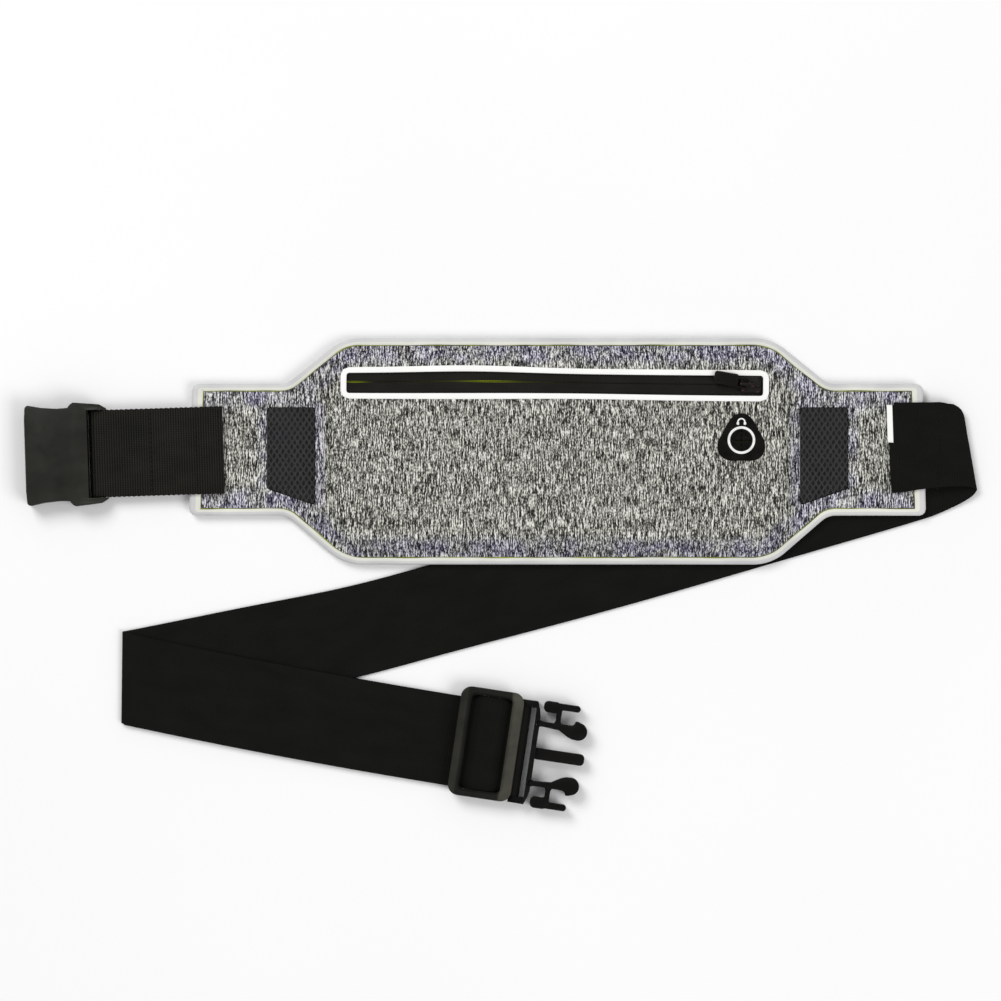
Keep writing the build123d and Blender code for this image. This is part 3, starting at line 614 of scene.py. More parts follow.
def window_outline(side, grow=0.0):
    """The outline of the right (1) or left (-1) window, made larger by grow."""
    corners = [(side * x, y) for x, y in WINDOW]
    if side > 0:
        corners = corners[::-1]
    points, normals = rounded(corners, [1.2] * 4, 1.6)
    return points + normals * grow


def inside_loop(points, loop):
    """Whether each point is inside a closed line."""
    x, y = points[:, 0], points[:, 1]
    inside = np.zeros(len(points), bool)
    for (ax, ay), (bx, by) in zip(loop, np.roll(loop, -1, axis=0)):
        crosses = (ay > y) != (by > y)
        with np.errstate(divide="ignore", invalid="ignore"):
            reach = (bx - ax) * (y - ay) / (by - ay) + ax
        inside ^= crosses & (x < reach)
    return inside


def on_zip(points):
    """Moves points given along and across the zip's line on to the pouch. The fabric pulls its two
    sides a little out of true, most of all the upper one left of the middle."""
    u, v = np.asarray(points, float).T
    upper = bump_at(u, *ZIP_UPPER_BOW)
    lower = bump_at(u, *ZIP_LOWER_BOW)
    share = np.clip((v + 7) / 14, 0, 1)
    v = v + lower + (upper - lower) * share
    turn = math.radians(ZIP_TURN)
    x = ZIP_X + u * math.cos(turn) - v * math.sin(turn)
    y = ZIP_Y + v * math.cos(turn) + u * math.sin(turn)
    return np.stack([x, y], 1)


def sheet_mesh(outline, holes, spacing):
    """Points and triangles of a flat sheet with holes."""
    low, high = outline.min(0), outline.max(0)
    rows = int((high[1] - low[1]) / (spacing * 0.87)) + 1
    grid = []
    for row in range(rows):
        start = low[0] + (row % 2) * spacing / 2
        xs = np.arange(start, high[0], spacing)
        grid.append(np.stack([xs, np.full(len(xs), low[1] + row * spacing * 0.87)], 1))
    grid = np.concatenate(grid)
    keep = inside_loop(grid, outline) & (loop_distance(grid, outline) > spacing * 0.5)
    for hole in holes:
        keep &= ~inside_loop(grid, hole) & (loop_distance(grid, hole) > spacing * 0.5)
    points, edges = [], []
    for loop in [outline, *holes]:
        first = len(points)
        points += [Vector(p) for p in loop]
        edges += [(first + i, first + (i + 1) % len(loop)) for i in range(len(loop))]
    points += [Vector(p) for p in grid[keep]]
    made, _, faces, *_ = delaunay_2d_cdt(points, edges, [], 0, 1e-5)
    made = np.array([tuple(p) for p in made])
    faces = np.array([f for f in faces if len(f) == 3])
    middles = made[faces].mean(1)
    keep = inside_loop(middles, outline)
    for hole in holes:
        keep &= ~inside_loop(middles, hole)
    return made, faces[keep].tolist()


def pouch_wrinkles(points):
    """Soft dents and pulls in the front fabric, which die out at the zip, the port and the flange."""
    x, y = points[:, 0], points[:, 1]
    held = np.clip(edge_distance(points, mirrored(list(FOOT))) / 14, 0, 1)
    beside, above = np.clip(np.abs(x - ZIP_X) - 95, 0, None), np.clip(np.abs(y - ZIP_Y) - 8.2, 0, None)
    zip_away = np.clip(np.hypot(beside, above) / 9, 0, 1)
    port_away = np.clip((np.hypot(x - PORT[0], y - PORT[1]) - 13) / 10, 0, 1)
    pulls = wave(x * 0.25, y, 11, 34) * 0.5 + wave(x, y * 0.5, 12, 58) * 0.7
    return -held * zip_away * port_away * (0.55 + 0.55 * pulls) * 0.9


PANEL_OUTLINE = OUTLINE - OUTLINE_NORMALS * (SKIN + 0.05)


def front_fabric():
    """The knitted front, swollen over the pocket, with its four openings."""
    holes = [
        on_zip(rounded_rectangle((0, 0), ZIP_OPEN, 1.0, 1.6)[0]),
        circle(PORT, PORT_HOLE, 40),
        window_outline(1),
        window_outline(-1),
    ]
    points, faces = sheet_mesh(PANEL_OUTLINE, holes, 1.7)
    top = pouch_height(points) + pouch_wrinkles(points)
    obj = cloth("front_fabric", points, top, faces, PANEL_THICK, use_even_offset=False)
    near = loop_distance(points, PANEL_OUTLINE)
    border = 1 - np.clip((near - 8) / 5, 0, 1)
    for side in (1, -1):
        window = loop_distance(points, window_outline(side))
        border = np.maximum(border, 0.8 * (1 - np.clip((window - 2.5) / 3, 0, 1)))
    attribute(obj, "border", border)
    finish_piece(obj, "pouch", "knit", KNIT, "front_panel")


def back_fabric():
    """The smooth back panel, which lies almost flat."""
    points, faces = sheet_mesh(PANEL_OUTLINE, [], 3.0)
    loose = np.clip(loop_distance(points, PANEL_OUTLINE) / 15, 0, 1)
    sag = 0.12 * wave(points[:, 0], points[:, 1], 21, 60) * loose
    obj = cloth("back_fabric", points, FLANGE_BOTTOM + sag, faces, PANEL_THICK)
    finish_piece(obj, "pouch", "knit", BACK_KNIT, "back_panel")


def lining():
    """The thin lining on the back panel, inside the pocket."""
    outline = rounded(mirrored([(103.5, 34.6), (91.8, 43.8)]), [4.0] * 8, 2.0)[0]
    points, faces = sheet_mesh(outline, [], 3.0)
    height = FLANGE_BOTTOM + 0.45 + 0.12 * wave(points[:, 0], points[:, 1], 31, 25)
    obj = cloth("pocket_lining_cloth", points, height, faces, 0.2, 0.0)
    finish_piece(obj, "pouch", "lining", LIME, "pocket_lining")


# ---- edge binding ----
def binding_inner():
    """The inner edge of the binding, which is wider across the ends of the ears."""
    inner = OUTLINE - OUTLINE_NORMALS * BINDING_WIDTH
    return clipped_ear(inner)


def binding():
    """A tape folded over the edge of both panels: a rounded U with a slightly uneven inner edge."""
    inner = binding_inner()
    step = np.cumsum(np.linalg.norm(np.diff(OUTLINE, axis=0, prepend=OUTLINE[:1]), axis=1))
    uneven = 0.12 * np.sin(step / 7.3) + 0.08 * np.sin(step / 3.1 + 1.0)
    fade = np.clip(np.minimum(step, step[-1] - step) / 10, 0, 1)
    inner = inner - unit(OUTLINE - inner) * (uneven * fade)[:, None]
    mid = (BINDING_TOP + BINDING_BOTTOM) / 2
    high, low = BINDING_TOP, BINDING_BOTTOM
    outside = [(1.0, FLANGE_TOP), (1.0, high - 0.12), (0.95, high), (0.6, high + 0.05), (0.3, high)]
    outside += [(0.12, high - 0.2), (0.02, high - 0.75), (0.0, mid), (0.02, low + 0.75), (0.12, low + 0.2)]
    outside += [(0.3, low), (0.6, low - 0.05), (0.95, low), (1.0, low + 0.12), (1.0, BACK_BOTTOM)]
    inside = [(0.5, BACK_BOTTOM), (0.2, BACK_BOTTOM + 0.1), (0.2, FLANGE_TOP - 0.1), (0.5, FLANGE_TOP)]
    section = outside + inside
    loops = []
    for i in range(len(OUTLINE)):
        ring = [(*(OUTLINE[i] + (inner[i] - OUTLINE[i]) * t), z) for t, z in section]
        loops.append(ring)
    loops = np.array(loops)
    loops[:, :, 2] += (0.05 * np.sin(step / 5.2) * fade)[:, None]
    obj = swept("binding_tape", loops, closed=True)
    attribute(obj, "inner", np.tile([t for t, _ in section], len(OUTLINE)))
    finish_piece(obj, "pouch", "binding", BINDING_TAPE, "edge_binding")


def binding_line():
    """The thin bead of glue and thread where the binding meets the knit."""
    inner = binding_inner()
    inner = clipped_ear(inner - OUTLINE_NORMALS * 0.12, 0.12)
    keep = np.linalg.norm(np.diff(inner, axis=0, prepend=inner[-1:]), axis=1) > 0.4
    inner = inner[keep]
    side = outward(inner)
    loops = []
    for turn in round_turns(6):
        height = np.full(len(inner), FLANGE_TOP + 0.12 + 0.2 * math.sin(turn))
        loops.append(np.column_stack([inner + side * 0.26 * math.cos(turn), height]))
    obj = swept("binding_seam_line", np.array(loops).transpose(1, 0, 2), closed=True)
    finish_piece(obj, "pouch", "binding", LIME_LINE)


# ---- zip ----
TAPE_BOTTOM, TAPE_TOP = level("zip_tape_upper")
COIL_BOTTOM, COIL_TOP = level("zip_coil_upper")
TAPE_LENGTH = 187.0


def zip_frame_film():
    """The welded film round the opening: it follows the fabric, and has rounded edges."""
    inner, normals = rounded_rectangle((0, 0), ZIP_OPEN, 1.1, 1.5)
    section = [(0.0, -0.35), (0.0, 0.12), (0.06, 0.26), (0.2, 0.3)]
    section += [(0.8, 0.3), (0.94, 0.24), (1.0, 0.1), (1.0, -0.35)]
    loops = []
    for share, rise in section:
        flat = on_zip(inner + normals * ZIP_FRAME_WIDTH * share)
        loops.append(np.column_stack([flat, np.maximum(pouch_height(flat), POUCH_TOP - 0.6) + rise]))
    obj = swept("zip_frame_film", np.array(loops).transpose(1, 0, 2), closed=True)
    finish_piece(obj, "pouch", "reflective_film", FRAME_FILM, "zip_frame")


def bare_edge(u):
    """How far the tapes' coating has worn off their edges: at the left end and near the middle."""
    left_end = bump_at(u, 1.0, -88.5, 4.5)
    middle = bump_at(u, 0.8, -28.5, 9) + bump_at(u, 0.2, -31, 24)
    return left_end + middle


def tape_gap(u):
    """Half the gap between the tapes, a little wider where their edges are bare."""
    return 0.07 + 0.08 * bare_edge(u)


def zip_tape(side):
    """One tape, with a doubled bead along the edge where the coil is sewn under it."""
    us = np.arange(-TAPE_LENGTH / 2, TAPE_LENGTH / 2 + 0.5, 1.5)
    shares = [0.0, 0.028, 0.045, 0.1, 0.2, 0.3, 0.34, 0.38, 0.5, 0.75, 1.0]
    rises = [-0.18, -0.05, 0.0, 0.06, 0.09, 0.06, -0.05, 0.0, 0.0, 0.03, 0.0]
    wear_and_glint = np.array([1.0, 1.0] + [0.0] * 2 * (len(shares) - 2) + [1.0, 1.0])
    loops, flats, bare = [], [], []
    for u in us:
        near, far = tape_gap(u), 6.7
        across = np.array([near + (far - near) * s for s in shares])
        across = np.concatenate([across, across[::-1]]) * side + CHAIN_RISE
        height = [TAPE_TOP + r for r in rises] + [TAPE_BOTTOM] * len(shares)
        flat = on_zip(np.column_stack([np.full(len(across), u), across]))
        loops.append(np.column_stack([flat, height]))
        flats.append([(u, 7.2 * s, 0) for s in shares + shares[::-1]])
        bare.append(bare_edge(u) * wear_and_glint)
    name = "upper" if side > 0 else "lower"
    obj = swept(f"zip_tape_{name}_weave", loops)
    attribute(obj, "strap", np.array(flats), "FLOAT_VECTOR")
    attribute(obj, "bare", np.array(bare))
    finish_piece(obj, "pouch", "zip_tape", ZIP_TAPE, f"zip_tape_{name}")


def zip_coil(side):
    """A nylon coil: one long flattened spiral whose turns reach almost to the middle."""
    pitch, turns, samples = 1.5, 122, 12
    middle_z = (COIL_BOTTOM + COIL_TOP) / 2
    turned = 2 * math.pi * np.arange(turns * samples + 1) / samples
    along = pitch * (turned / (2 * math.pi) - turns / 2) + (0.0 if side > 0 else pitch / 2)
    across = CHAIN_RISE + side * (1.45 - 0.85 * np.cos(turned))
    flat = on_zip(np.column_stack([along, across]))
    path = np.column_stack([flat, middle_z + 0.42 * np.sin(turned)])
    name = "zip_coil_upper" if side > 0 else "zip_coil_lower"
    obj = tube(f"{name}_spiral", path, 0.22, 6)
    finish_piece(obj, "pouch", "zip_coil", COIL, name)


def tube(name, path, radius, sides=8, flat=1.0):
    """A tube along a path. radius is a number, or one for each point; flat is its height to width."""
    path = np.asarray(path, float)
    ahead = unit(np.gradient(path, axis=0))
    radius = np.broadcast_to(radius, len(path))
    side = np.cross(ahead[0], (0.0, 0.0, 1.0))
    if np.linalg.norm(side) < 0.1:
        side = np.cross(ahead[0], (1.0, 0.0, 0.0))
    loops = []
    for point, forward, r in zip(path, ahead, radius):
        side = unit(side - forward * (side @ forward))
        up = np.cross(side, forward)
        loops.append([point + r * (math.cos(t) * side + flat * math.sin(t) * up) for t in round_turns(sides)])
    return swept(name, loops)


def softened(name, node, body, slot, material, width):
    """A copy of a CAD part with its edges rounded over, as a moulded part's are."""
    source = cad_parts[node]
    obj = bpy.data.objects.new(name, source.data.copy())
    bpy.context.scene.collection.objects.link(obj)
    obj.matrix_world = source.matrix_world.copy()
    work = bmesh.new()
    work.from_mesh(obj.data)
    bmesh.ops.remove_doubles(work, verts=work.verts, dist=1e-7)
    bmesh.ops.dissolve_limit(work, angle_limit=math.radians(1.0), verts=work.verts, edges=work.edges)
    work.to_mesh(obj.data)
    work.free()
    smooth_faces(obj.data)
    modifier(
        obj, "BEVEL", width=width * MM, segments=2, limit_method="ANGLE", angle_limit=math.radians(35),
        harden_normals=True, miter_outer="MITER_ARC", use_clamp_overlap=True,
    )
    finish_piece(obj, body, slot, material, node)


# ---- earphone port ----
PORT_BOTTOM, PORT_TOP = level("port_patch")
RING_TOP = level("port_ring")[1]
PORT_RADIUS, PORT_LOBE = 10.4, 1.4
PETAL_REACH = 4.6
PETAL_NEAR, PETAL_FAR, PETAL_ROWS = 0.17, 4.25, 8
RING_INNER, RING_OUTER = 5.0, 6.1
MARK_RISE, MARK_RADIUS = 7.9, 1.55


def port_patch():
    """The rubber patch: a domed rounded triangle with a raised lip and a diamond hole."""
    turns = round_turns(108)
    hole = np.stack([np.cos(turns), np.sin(turns)], 1)
    rim = hole * (PORT_RADIUS + PORT_LOBE * np.cos(3 * (turns - math.pi / 2)))[:, None] * (0.96, 1.0)
    normals = outward(rim)
    hole *= (PETAL_REACH / (np.abs(hole[:, 0]) + np.abs(hole[:, 1])))[:, None]
    steps = [(0.0, -0.4), (0.0, 0.45), (-0.25, 0.75), (-0.7, 0.95), (-1.2, 1.0), (-1.7, 0.93), (-2.3, 0.86)]
    loops = []
    thick = PORT_TOP - PORT_BOTTOM
    for i in range(len(rim)):
        ring = [(*(rim[i] + normals[i] * out), PORT_BOTTOM + thick * rise) for out, rise in steps]
        inner = np.array(ring[-1][:2])
        for share, rise in ((0.35, 0.9), (0.7, 0.97), (0.93, 1.0), (1.0, 0.93), (1.0, 0.1)):
            ring.append((*(inner + (hole[i] - inner) * share), PORT_BOTTOM + thick * rise))
        loops.append(ring)
    loops = np.array(loops) + np.array([*PORT, 0])
    obj = swept("port_rubber_patch", loops, closed=True)
    finish_piece(obj, "pouch", "port_rubber", RUBBER, "port_patch")


def ring_print():
    """The printed ring round the slits, with a rounded top."""
    inner, outer = circle(PORT, RING_INNER, 64), circle(PORT, RING_OUTER, 64)
    low = PORT_TOP - 0.06
    section = [(0.0, 0.0), (0.0, 0.6), (0.15, 0.92), (0.5, 1.0), (0.85, 0.92), (1.0, 0.6), (1.0, 0.0)]
    loops = []
    for a, b in zip(inner, outer):
        loops.append([(*(a + (b - a) * share), low + (RING_TOP - low) * rise) for share, rise in section])
    obj = swept("port_ring_print", loops, closed=True)
    finish_piece(obj, "pouch", "port_print", PRINT, "port_ring")


def headphone_print():
    """The printed symbol above the ring: a band and two cups."""
    x0, y0, z0 = PORT[0], PORT[1] + MARK_RISE, PORT_TOP + 0.04
    reach = MARK_RADIUS
    arc = [(x0 + reach * math.cos(t), y0 + reach * math.sin(t), z0) for t in np.linspace(0, math.pi, 17)]
    path = [(x0 + reach, y0 - 0.8, z0), *arc, (x0 - reach, y0 - 0.8, z0)]
    band = tube("headphone_band", path, 0.33, 8, flat=0.5)
    finish_piece(band, "pouch", "port_print", PRINT, "headphone_mark")
    cup_line = ((1.62, -0.1), (1.56, 0.15), (1.56, 0.95), (1.62, 1.2))
    for side in (-1, 1):
        cup = [(x0 + side * x, y0 - y, z0) for x, y in cup_line]
        shape = tube(f"headphone_cup_{side + 2}", cup, [0.3, 0.58, 0.58, 0.3], 10, flat=0.3)
        finish_piece(shape, "pouch", "port_print", PRINT)


def port_petal(number):
    """A rubber petal between the slits, a little dished towards the middle."""
    rows = PETAL_ROWS
    cells = [(i, j) for i in range(rows + 1) for j in range(rows + 1 - i)]
    index = {cell: at for at, cell in enumerate(cells)}
    points = PETAL_NEAR + (PETAL_FAR - PETAL_NEAR) * (np.array(cells) / rows)
    faces = []
    for i, j in cells:
        if i + j < rows:
            faces.append((index[i, j], index[i + 1, j], index[i, j + 1]))
        if i + j < rows - 1:
            faces.append((index[i + 1, j], index[i + 1, j + 1], index[i, j + 1]))
    dish = 0.22 * np.clip(1 - (points[:, 0] + points[:, 1]) / 4.2, 0, 1)
    quarter = 90 * (number - 1)
    turned = points @ np.array([heading(quarter), heading(quarter + 90)])
    obj = cloth(f"port_petal_{number}", turned + PORT, PORT_TOP - dish, faces, 0.5)
    modifier(obj, "BEVEL", width=0.08 * MM, segments=2, limit_method="ANGLE")
    finish_piece(obj, f"petal_{number}", "port_rubber", RUBBER, f"port_flap_{number}")


# ---- mesh windows ----
def window_net(side):
    """Knitted diamond mesh: strands that swing left and right and meet at every half cell."""
    outline = window_outline(side)
    low, high = level("mesh_window_right")
    name = "right" if side > 0 else "left"
    points, faces = sheet_mesh(window_outline(side, -0.02), [], 2.4)
    back = cloth(f"window_{name}_backing", points, np.full(len(points), low + 0.25), faces, 0.2, 0.0)
    finish_piece(back, "pouch", "mesh", NET_BACK, f"mesh_window_{name}")
    pitch, cell, swing = 1.3, 4.0, 0.46
    (left, bottom), (right, top) = outline.min(0), outline.max(0)
    ys = np.arange(bottom, top, 0.3)
    verts, polys = [], []
    for i in range(int((right - left) / pitch) + 2):
        wander = 0.35 * np.sin(ys * 0.9 + 1.7 * i)
        xs = left + i * pitch + swing * np.cos(2 * math.pi * ys / cell + math.pi * (i % 2) + wander)
        line = np.stack([xs, ys], 1)
        inside = inside_loop(line, outline) & (loop_distance(line, outline) > 0.25)
        if inside.sum() < 6:
            continue
        line = line[inside]
        lift = high - 0.1 + 0.14 * np.cos(4 * math.pi * line[:, 1] / cell) * (1 if i % 2 else -1)
        strand(verts, polys, np.column_stack([line, lift]), 0.36, 0.18)
    net = new_mesh(f"window_{name}_net", np.array(verts), polys)
    finish_piece(net, "pouch", "mesh", NET)


def strand(verts, polys, path, half_width, half_thick):
    """Adds a flat oval strand along a path to a mesh in the making."""
    ahead = np.gradient(path, axis=0)
    side = unit(np.stack([ahead[:, 1], -ahead[:, 0]], 1))
    polys += ring_faces(len(verts), len(path), 6)
    for (x, y, z), (sx, sy) in zip(path, side):
        for turn in round_turns(6):
            reach = half_width * math.cos(turn)
            verts.append((x + sx * reach, y + sy * reach, z + half_thick * math.sin(turn)))


# ---- straps ----
class Run:
    """A stretch of strap that lies flat and bends a little sideways, as an arc between two points."""

    def __init__(self, start, end, sag):
        start, end = np.array(start), np.array(end)
        chord = end - start
        length = np.linalg.norm(chord)
        self.radius = length**2 / (8 * sag) + sag / 2
        up = np.array([-chord[1], chord[0]]) / length
        up = up if up[1] > 0 else -up
        self.centre = (start + end) / 2 + up * (self.radius - sag)
        turn = math.degrees(math.asin(length / 2 / self.radius))
        lean = math.degrees(math.atan2(chord[1], chord[0]))
        sign = 1 if chord[0] > 0 else -1
        self.first, self.last = heading(lean - sign * turn), heading(lean + sign * turn)

    def meet(self, shift, cut):
        point, direction = cut
        reach = point - self.centre
        radius = self.radius + shift
        b, c = reach @ direction, reach @ reach - radius**2
        root = math.sqrt(b * b - c)
        return point + direction * min((-b - root, -b + root), key=abs)

    def line(self, shift, first_cut, last_cut, count):
        """Points along the arc that is shift outside the middle line."""
        ends = [self.meet(shift, cut) - self.centre for cut in (first_cut, last_cut)]
        a, b = (math.atan2(e[1], e[0]) for e in ends)
        turns = np.linspace(a, b, count)
        return self.centre + (self.radius + shift) * np.stack([np.cos(turns), np.sin(turns)], 1)


class Fold:
    """A half turn of strap about an upright edge."""

    def __init__(self, at, arriving, leaving, low, high):
        crease = unit(arriving + leaving)
        out = np.array([-crease[1], crease[0]])
        if out @ arriving < 0:
            out, crease = -out, -crease
        self.out, self.middle = out, (high + low) / 2
        self.radius = (high - low - STRAP_THICK) / 2
        self.cut = (np.array(at) - out * (high - low) / 2, crease)

    def turn(self, point, down, count):
        """The half circle over a point on the crease, from the top layer or from the bottom one."""
        turns = np.linspace(math.pi / 2, -math.pi / 2, count)[1:-1]
        turns = turns if down else turns[::-1]
        flat = point + self.out * (self.radius * np.cos(turns))[:, None]
        return np.column_stack([flat, self.middle + self.radius * np.sin(turns)])


TAB_HEADING = unit(np.array(RIGHT_FOLD) - TAB_START)
LONG_RUN = Run(RIGHT_FOLD, LEFT_FOLD, LONG_RUN_SAG)
SHORT_CHORD = np.array(PLUG_BAR_AT) - LEFT_FOLD
SHORT_LEAN = math.degrees(math.atan2(SHORT_CHORD[1], SHORT_CHORD[0]))
SHORT_SAG = np.linalg.norm(SHORT_CHORD) / 2 * math.tan(math.radians(PLUG_TURN - SHORT_LEAN) / 2)
SHORT_RUN = Run(LEFT_FOLD, PLUG_BAR_AT, SHORT_SAG)
RIGHT_TURN = Fold(RIGHT_FOLD, TAB_HEADING, LONG_RUN.first, 0, TAB_HIGH)
LEFT_TURN = Fold(LEFT_FOLD, LONG_RUN.last, SHORT_RUN.first, 0, SHORT_TOP)
# How far the long run droops below its arc, where, and over what length, near each of its ends.
RIGHT_DROOP, LEFT_DROOP = (2.2, 0, 62), (1.4, -92, 36)
TAB_SLOPE = 0.048


def laid_along(start, ahead):
    """The function that takes (reach, across, height) along a flat strap to a point."""
    side = np.array([-ahead[1], ahead[0]])

    def point(reach, across, height):
        return (*(np.array(start) + ahead * reach + side * across), height)

    return point


plug_place = laid_along(PLUG_BAR_AT, heading(PLUG_TURN))
webbing_place = laid_along(SOCKET_BAR_AT, heading(WEBBING_SLOPE))
tab_place = laid_along(TAB_START, TAB_HEADING)


def crossing(base, direction, cut):
    point, crease = cut
    cross = direction[0] * crease[1] - direction[1] * crease[0]
    gap = point - base
    return base + direction * (gap[0] * crease[1] - gap[1] * crease[0]) / cross


def plug_turn_path():
    """Heights over the plug's bar: (distance along the plug's direction, z) round and back down."""
    bend = PLUG_BAR_RADIUS + LAYER_GAP + STRAP_THICK / 2
    loose = bend + 0.5
    path = []
    for turn in np.linspace(-math.pi / 2, math.pi * 0.75, 18):
        out = (loose if math.cos(turn) > 0 else bend) * math.cos(turn)
        path.append((out, PLUG_BAR_Z + bend * math.sin(turn)))
    drop = path[-1][1] - UPPER_LAYER
    return path + [(path[-1][0] - drop * s, path[-1][1] - drop * s) for s in (0.33, 0.66, 1.0)]


def tab_rise(share):
    """How far the tab's edges bend up by the time they reach the loose turn."""
    return np.array([0, 2.0 * ((1 - share) / 2) ** 2 + 1.1 * max(share, 0) ** 2])


def soft_turn(share, crease_point, run):
    """The strap's open loop past the end of the ear. Its lower edge swings wide and its upper edge
    stays tight, so a long curve leads out of the tab and back into the long run."""
    low = (1 - share) / 2
    lead_out, lead_in = 8 + 15 * low, 7 + 11 * low
    leave = crease_point - TAB_HEADING * lead_out
    join = at_lengths(run, [lead_in])[0]
    rest = run[lengths_along(run) > lead_in + 0.8]
    back = unit(rest[0] - join)
    top = max(share, 0)
    lift, pinch, reach = 6.0 * low**2, 1.0 * top**8, 3.2 - 4.0 * top**10
    leave = leave + tab_rise(share)
    out = 4 / 3 * lead_out + reach
    handle_out = leave + TAB_HEADING * out + np.array([0, lift - pinch + TAB_SLOPE * out * top**2])
    handle_in = join - back * (4 / 3 * lead_in + reach) + np.array([0, 0.4 * lift - pinch])
    high, ground = (TAB_LOW + TAB_HIGH) / 2, STRAP_THICK / 2
    corners = [(*leave, high), (*handle_out, high + 0.4 * low), (*handle_in, ground), (*join, ground)]
    t = np.linspace(0, 1, 34)[:, None]
    weights = ((1 - t) ** 3, 3 * t * (1 - t) ** 2, 3 * t**2 * (1 - t), t**3)
    return leave, sum(w * np.array(c) for w, c in zip(weights, corners)), rest


def strap_line(share):
    """One thread of the strap from its sewn end to the plug, share (-1 to 1) of its half width up."""
    offset = share * STRAP_WIDTH / 2
    start = np.array(tab_place(1.35 * share**2 - 0.5 * share, offset, 0)[:2])
    corner = crossing(start, TAB_HEADING, RIGHT_TURN.cut)
    run = LONG_RUN.line(-offset, RIGHT_TURN.cut, LEFT_TURN.cut, 170)
    away = np.linalg.norm(run - run[0], axis=1)
    run[:, 1] -= bump_at(away, *RIGHT_DROOP) * np.clip(away / 12, 0, 1)
    run[:, 1] -= bump_at(run[:, 0], *LEFT_DROOP)
    leave, loop, rest = soft_turn(share, corner, run)
    part = np.linspace(0, 1, 16)[:-1, None]
    rise = tab_rise(share)
    tab = start + (leave - rise - start) * part + rise * part**1.4
    pieces = [np.column_stack([tab, np.full(len(tab), (TAB_LOW + TAB_HIGH) / 2)]), loop]
    run = at_lengths(rest, np.linspace(0, lengths_along(rest)[-1], 150))
    pieces.append(np.column_stack([run, np.full(len(run), STRAP_THICK / 2)]))
    pieces.append(LEFT_TURN.turn(run[-1], False, 10))
    end_cut = (np.array(PLUG_BAR_AT), heading(PLUG_TURN + 90))
    run = SHORT_RUN.line(-offset, LEFT_TURN.cut, end_cut, 80)
    pieces.append(np.column_stack([run, np.full(len(run), (SHORT_BOTTOM + SHORT_TOP) / 2)]))
    ahead = heading(PLUG_TURN)
    around = [(*(run[-1] + ahead * reach), z) for reach, z in plug_turn_path()]
    pieces.append(np.array(around[1:]))
    return np.concatenate(pieces)


def ribbon(name, lines, thick, edge, relief=None):
    """A strap through a grid of points (across, along, 3), with rounded edges, and its own
    coordinates along and across in millimetres."""
    grid = np.asarray(lines)
    ahead = np.gradient(grid, axis=1)
    across = np.gradient(grid, axis=0)
    up = unit(np.cross(ahead, across))
    half = np.full(grid.shape[:2], thick / 2)
    if relief is not None:
        half = half + relief
    top, low = grid + up * half[..., None], grid - up * half[..., None]
    across = unit(across)
    bulge = thick * edge
    first, last = grid[0] - across[0] * bulge, grid[-1] + across[-1] * bulge
    loops = np.concatenate([top, last[None], low[::-1], first[None]])
    obj = swept(name, loops.transpose(1, 0, 2))
    along, shares = lengths_along(grid[len(grid) // 2]), lengths_along(grid[:, 0])
    sides = np.concatenate([shares, [shares[-1]], shares[::-1], [0]])
    flat = np.zeros((len(along), len(sides), 3))
    flat[:, :, 0] = along[:, None]
    flat[:, :, 1] = sides[None]
    attribute(obj, "strap", flat, "FLOAT_VECTOR")
    return obj, along


def elastic_strap():
    """The whole belt but its part in the adjuster, as one ribbon of threads side by side."""
    shares = np.sin(np.linspace(-math.pi / 2, math.pi / 2, 21))
    lines = np.array([strap_line(s) for s in shares])
    obj, along = ribbon("elastic_strap", lines, STRAP_THICK, 0.25)
    parts = ("sewn_end", "right_turn", "long_run", "left_fold", "short_run", "plug_turn")
    finish_piece(obj, "pouch", "elastic", ELASTIC, *[f"strap_{part}" for part in parts])


def smooth_path(points, radius, step):
    """Evenly spaced points along a polyline whose corners are rounded."""
    points = [np.array(p, float) for p in points]
    out = [points[0]]
    for a, b, c in zip(points, points[1:], points[2:]):
        back, forth = unit(a - b), unit(c - b)
        room = min(radius, np.linalg.norm(a - b) / 2.05, np.linalg.norm(c - b) / 2.05)
        for t in np.linspace(0, 1, 7):
            out.append((1 - t) ** 2 * (b + back * room) + 2 * t * (1 - t) * b + t**2 * (b + forth * room))
    out.append(points[-1])
    out = np.array(out)
    length = lengths_along(out)[-1]
    return at_lengths(out, np.linspace(0, length, max(2, int(length / step) + 1)))


def threaded_strap():
    """The strap over the adjuster's middle bar, and its upper layer back from the plug."""
    lay = UPPER_LAYER
    crest = ADJUSTER_BAR_TOP + LAYER_GAP + STRAP_THICK / 2
    heights = [(-27.0, lay), (-22.4, lay), (-18.6, crest), (-10.6, crest), (-6.8, lay), (-5.0, lay)]
    path = smooth_path(heights, 1.4, 0.6)
    stretch = [(-5.0 + (1.9 * i / 30), lay) for i in range(1, 31)]
    path = np.concatenate([path, stretch])
    open_part = np.exp(-(((path[:, 0] + 14.7) / 12.0) ** 8))
    lines = []
    for share in np.linspace(-1, 1, 15):
        across = share * STRAP_WIDTH / 2 + (0.25 + 0.78 * (1 + share)) * open_part
        lines.append([plug_place(u, v, z) for (u, z), v in zip(path, across)])
    obj, along = ribbon("threaded_strap", lines, STRAP_THICK, 0.25)
    finish_piece(obj, None, "elastic", ELASTIC, "adjuster_strap_loop")
    start, end = place(plug_place(-3.2, 0, lay)), place(plug_place(-4.9, 0, lay))
    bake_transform(obj)


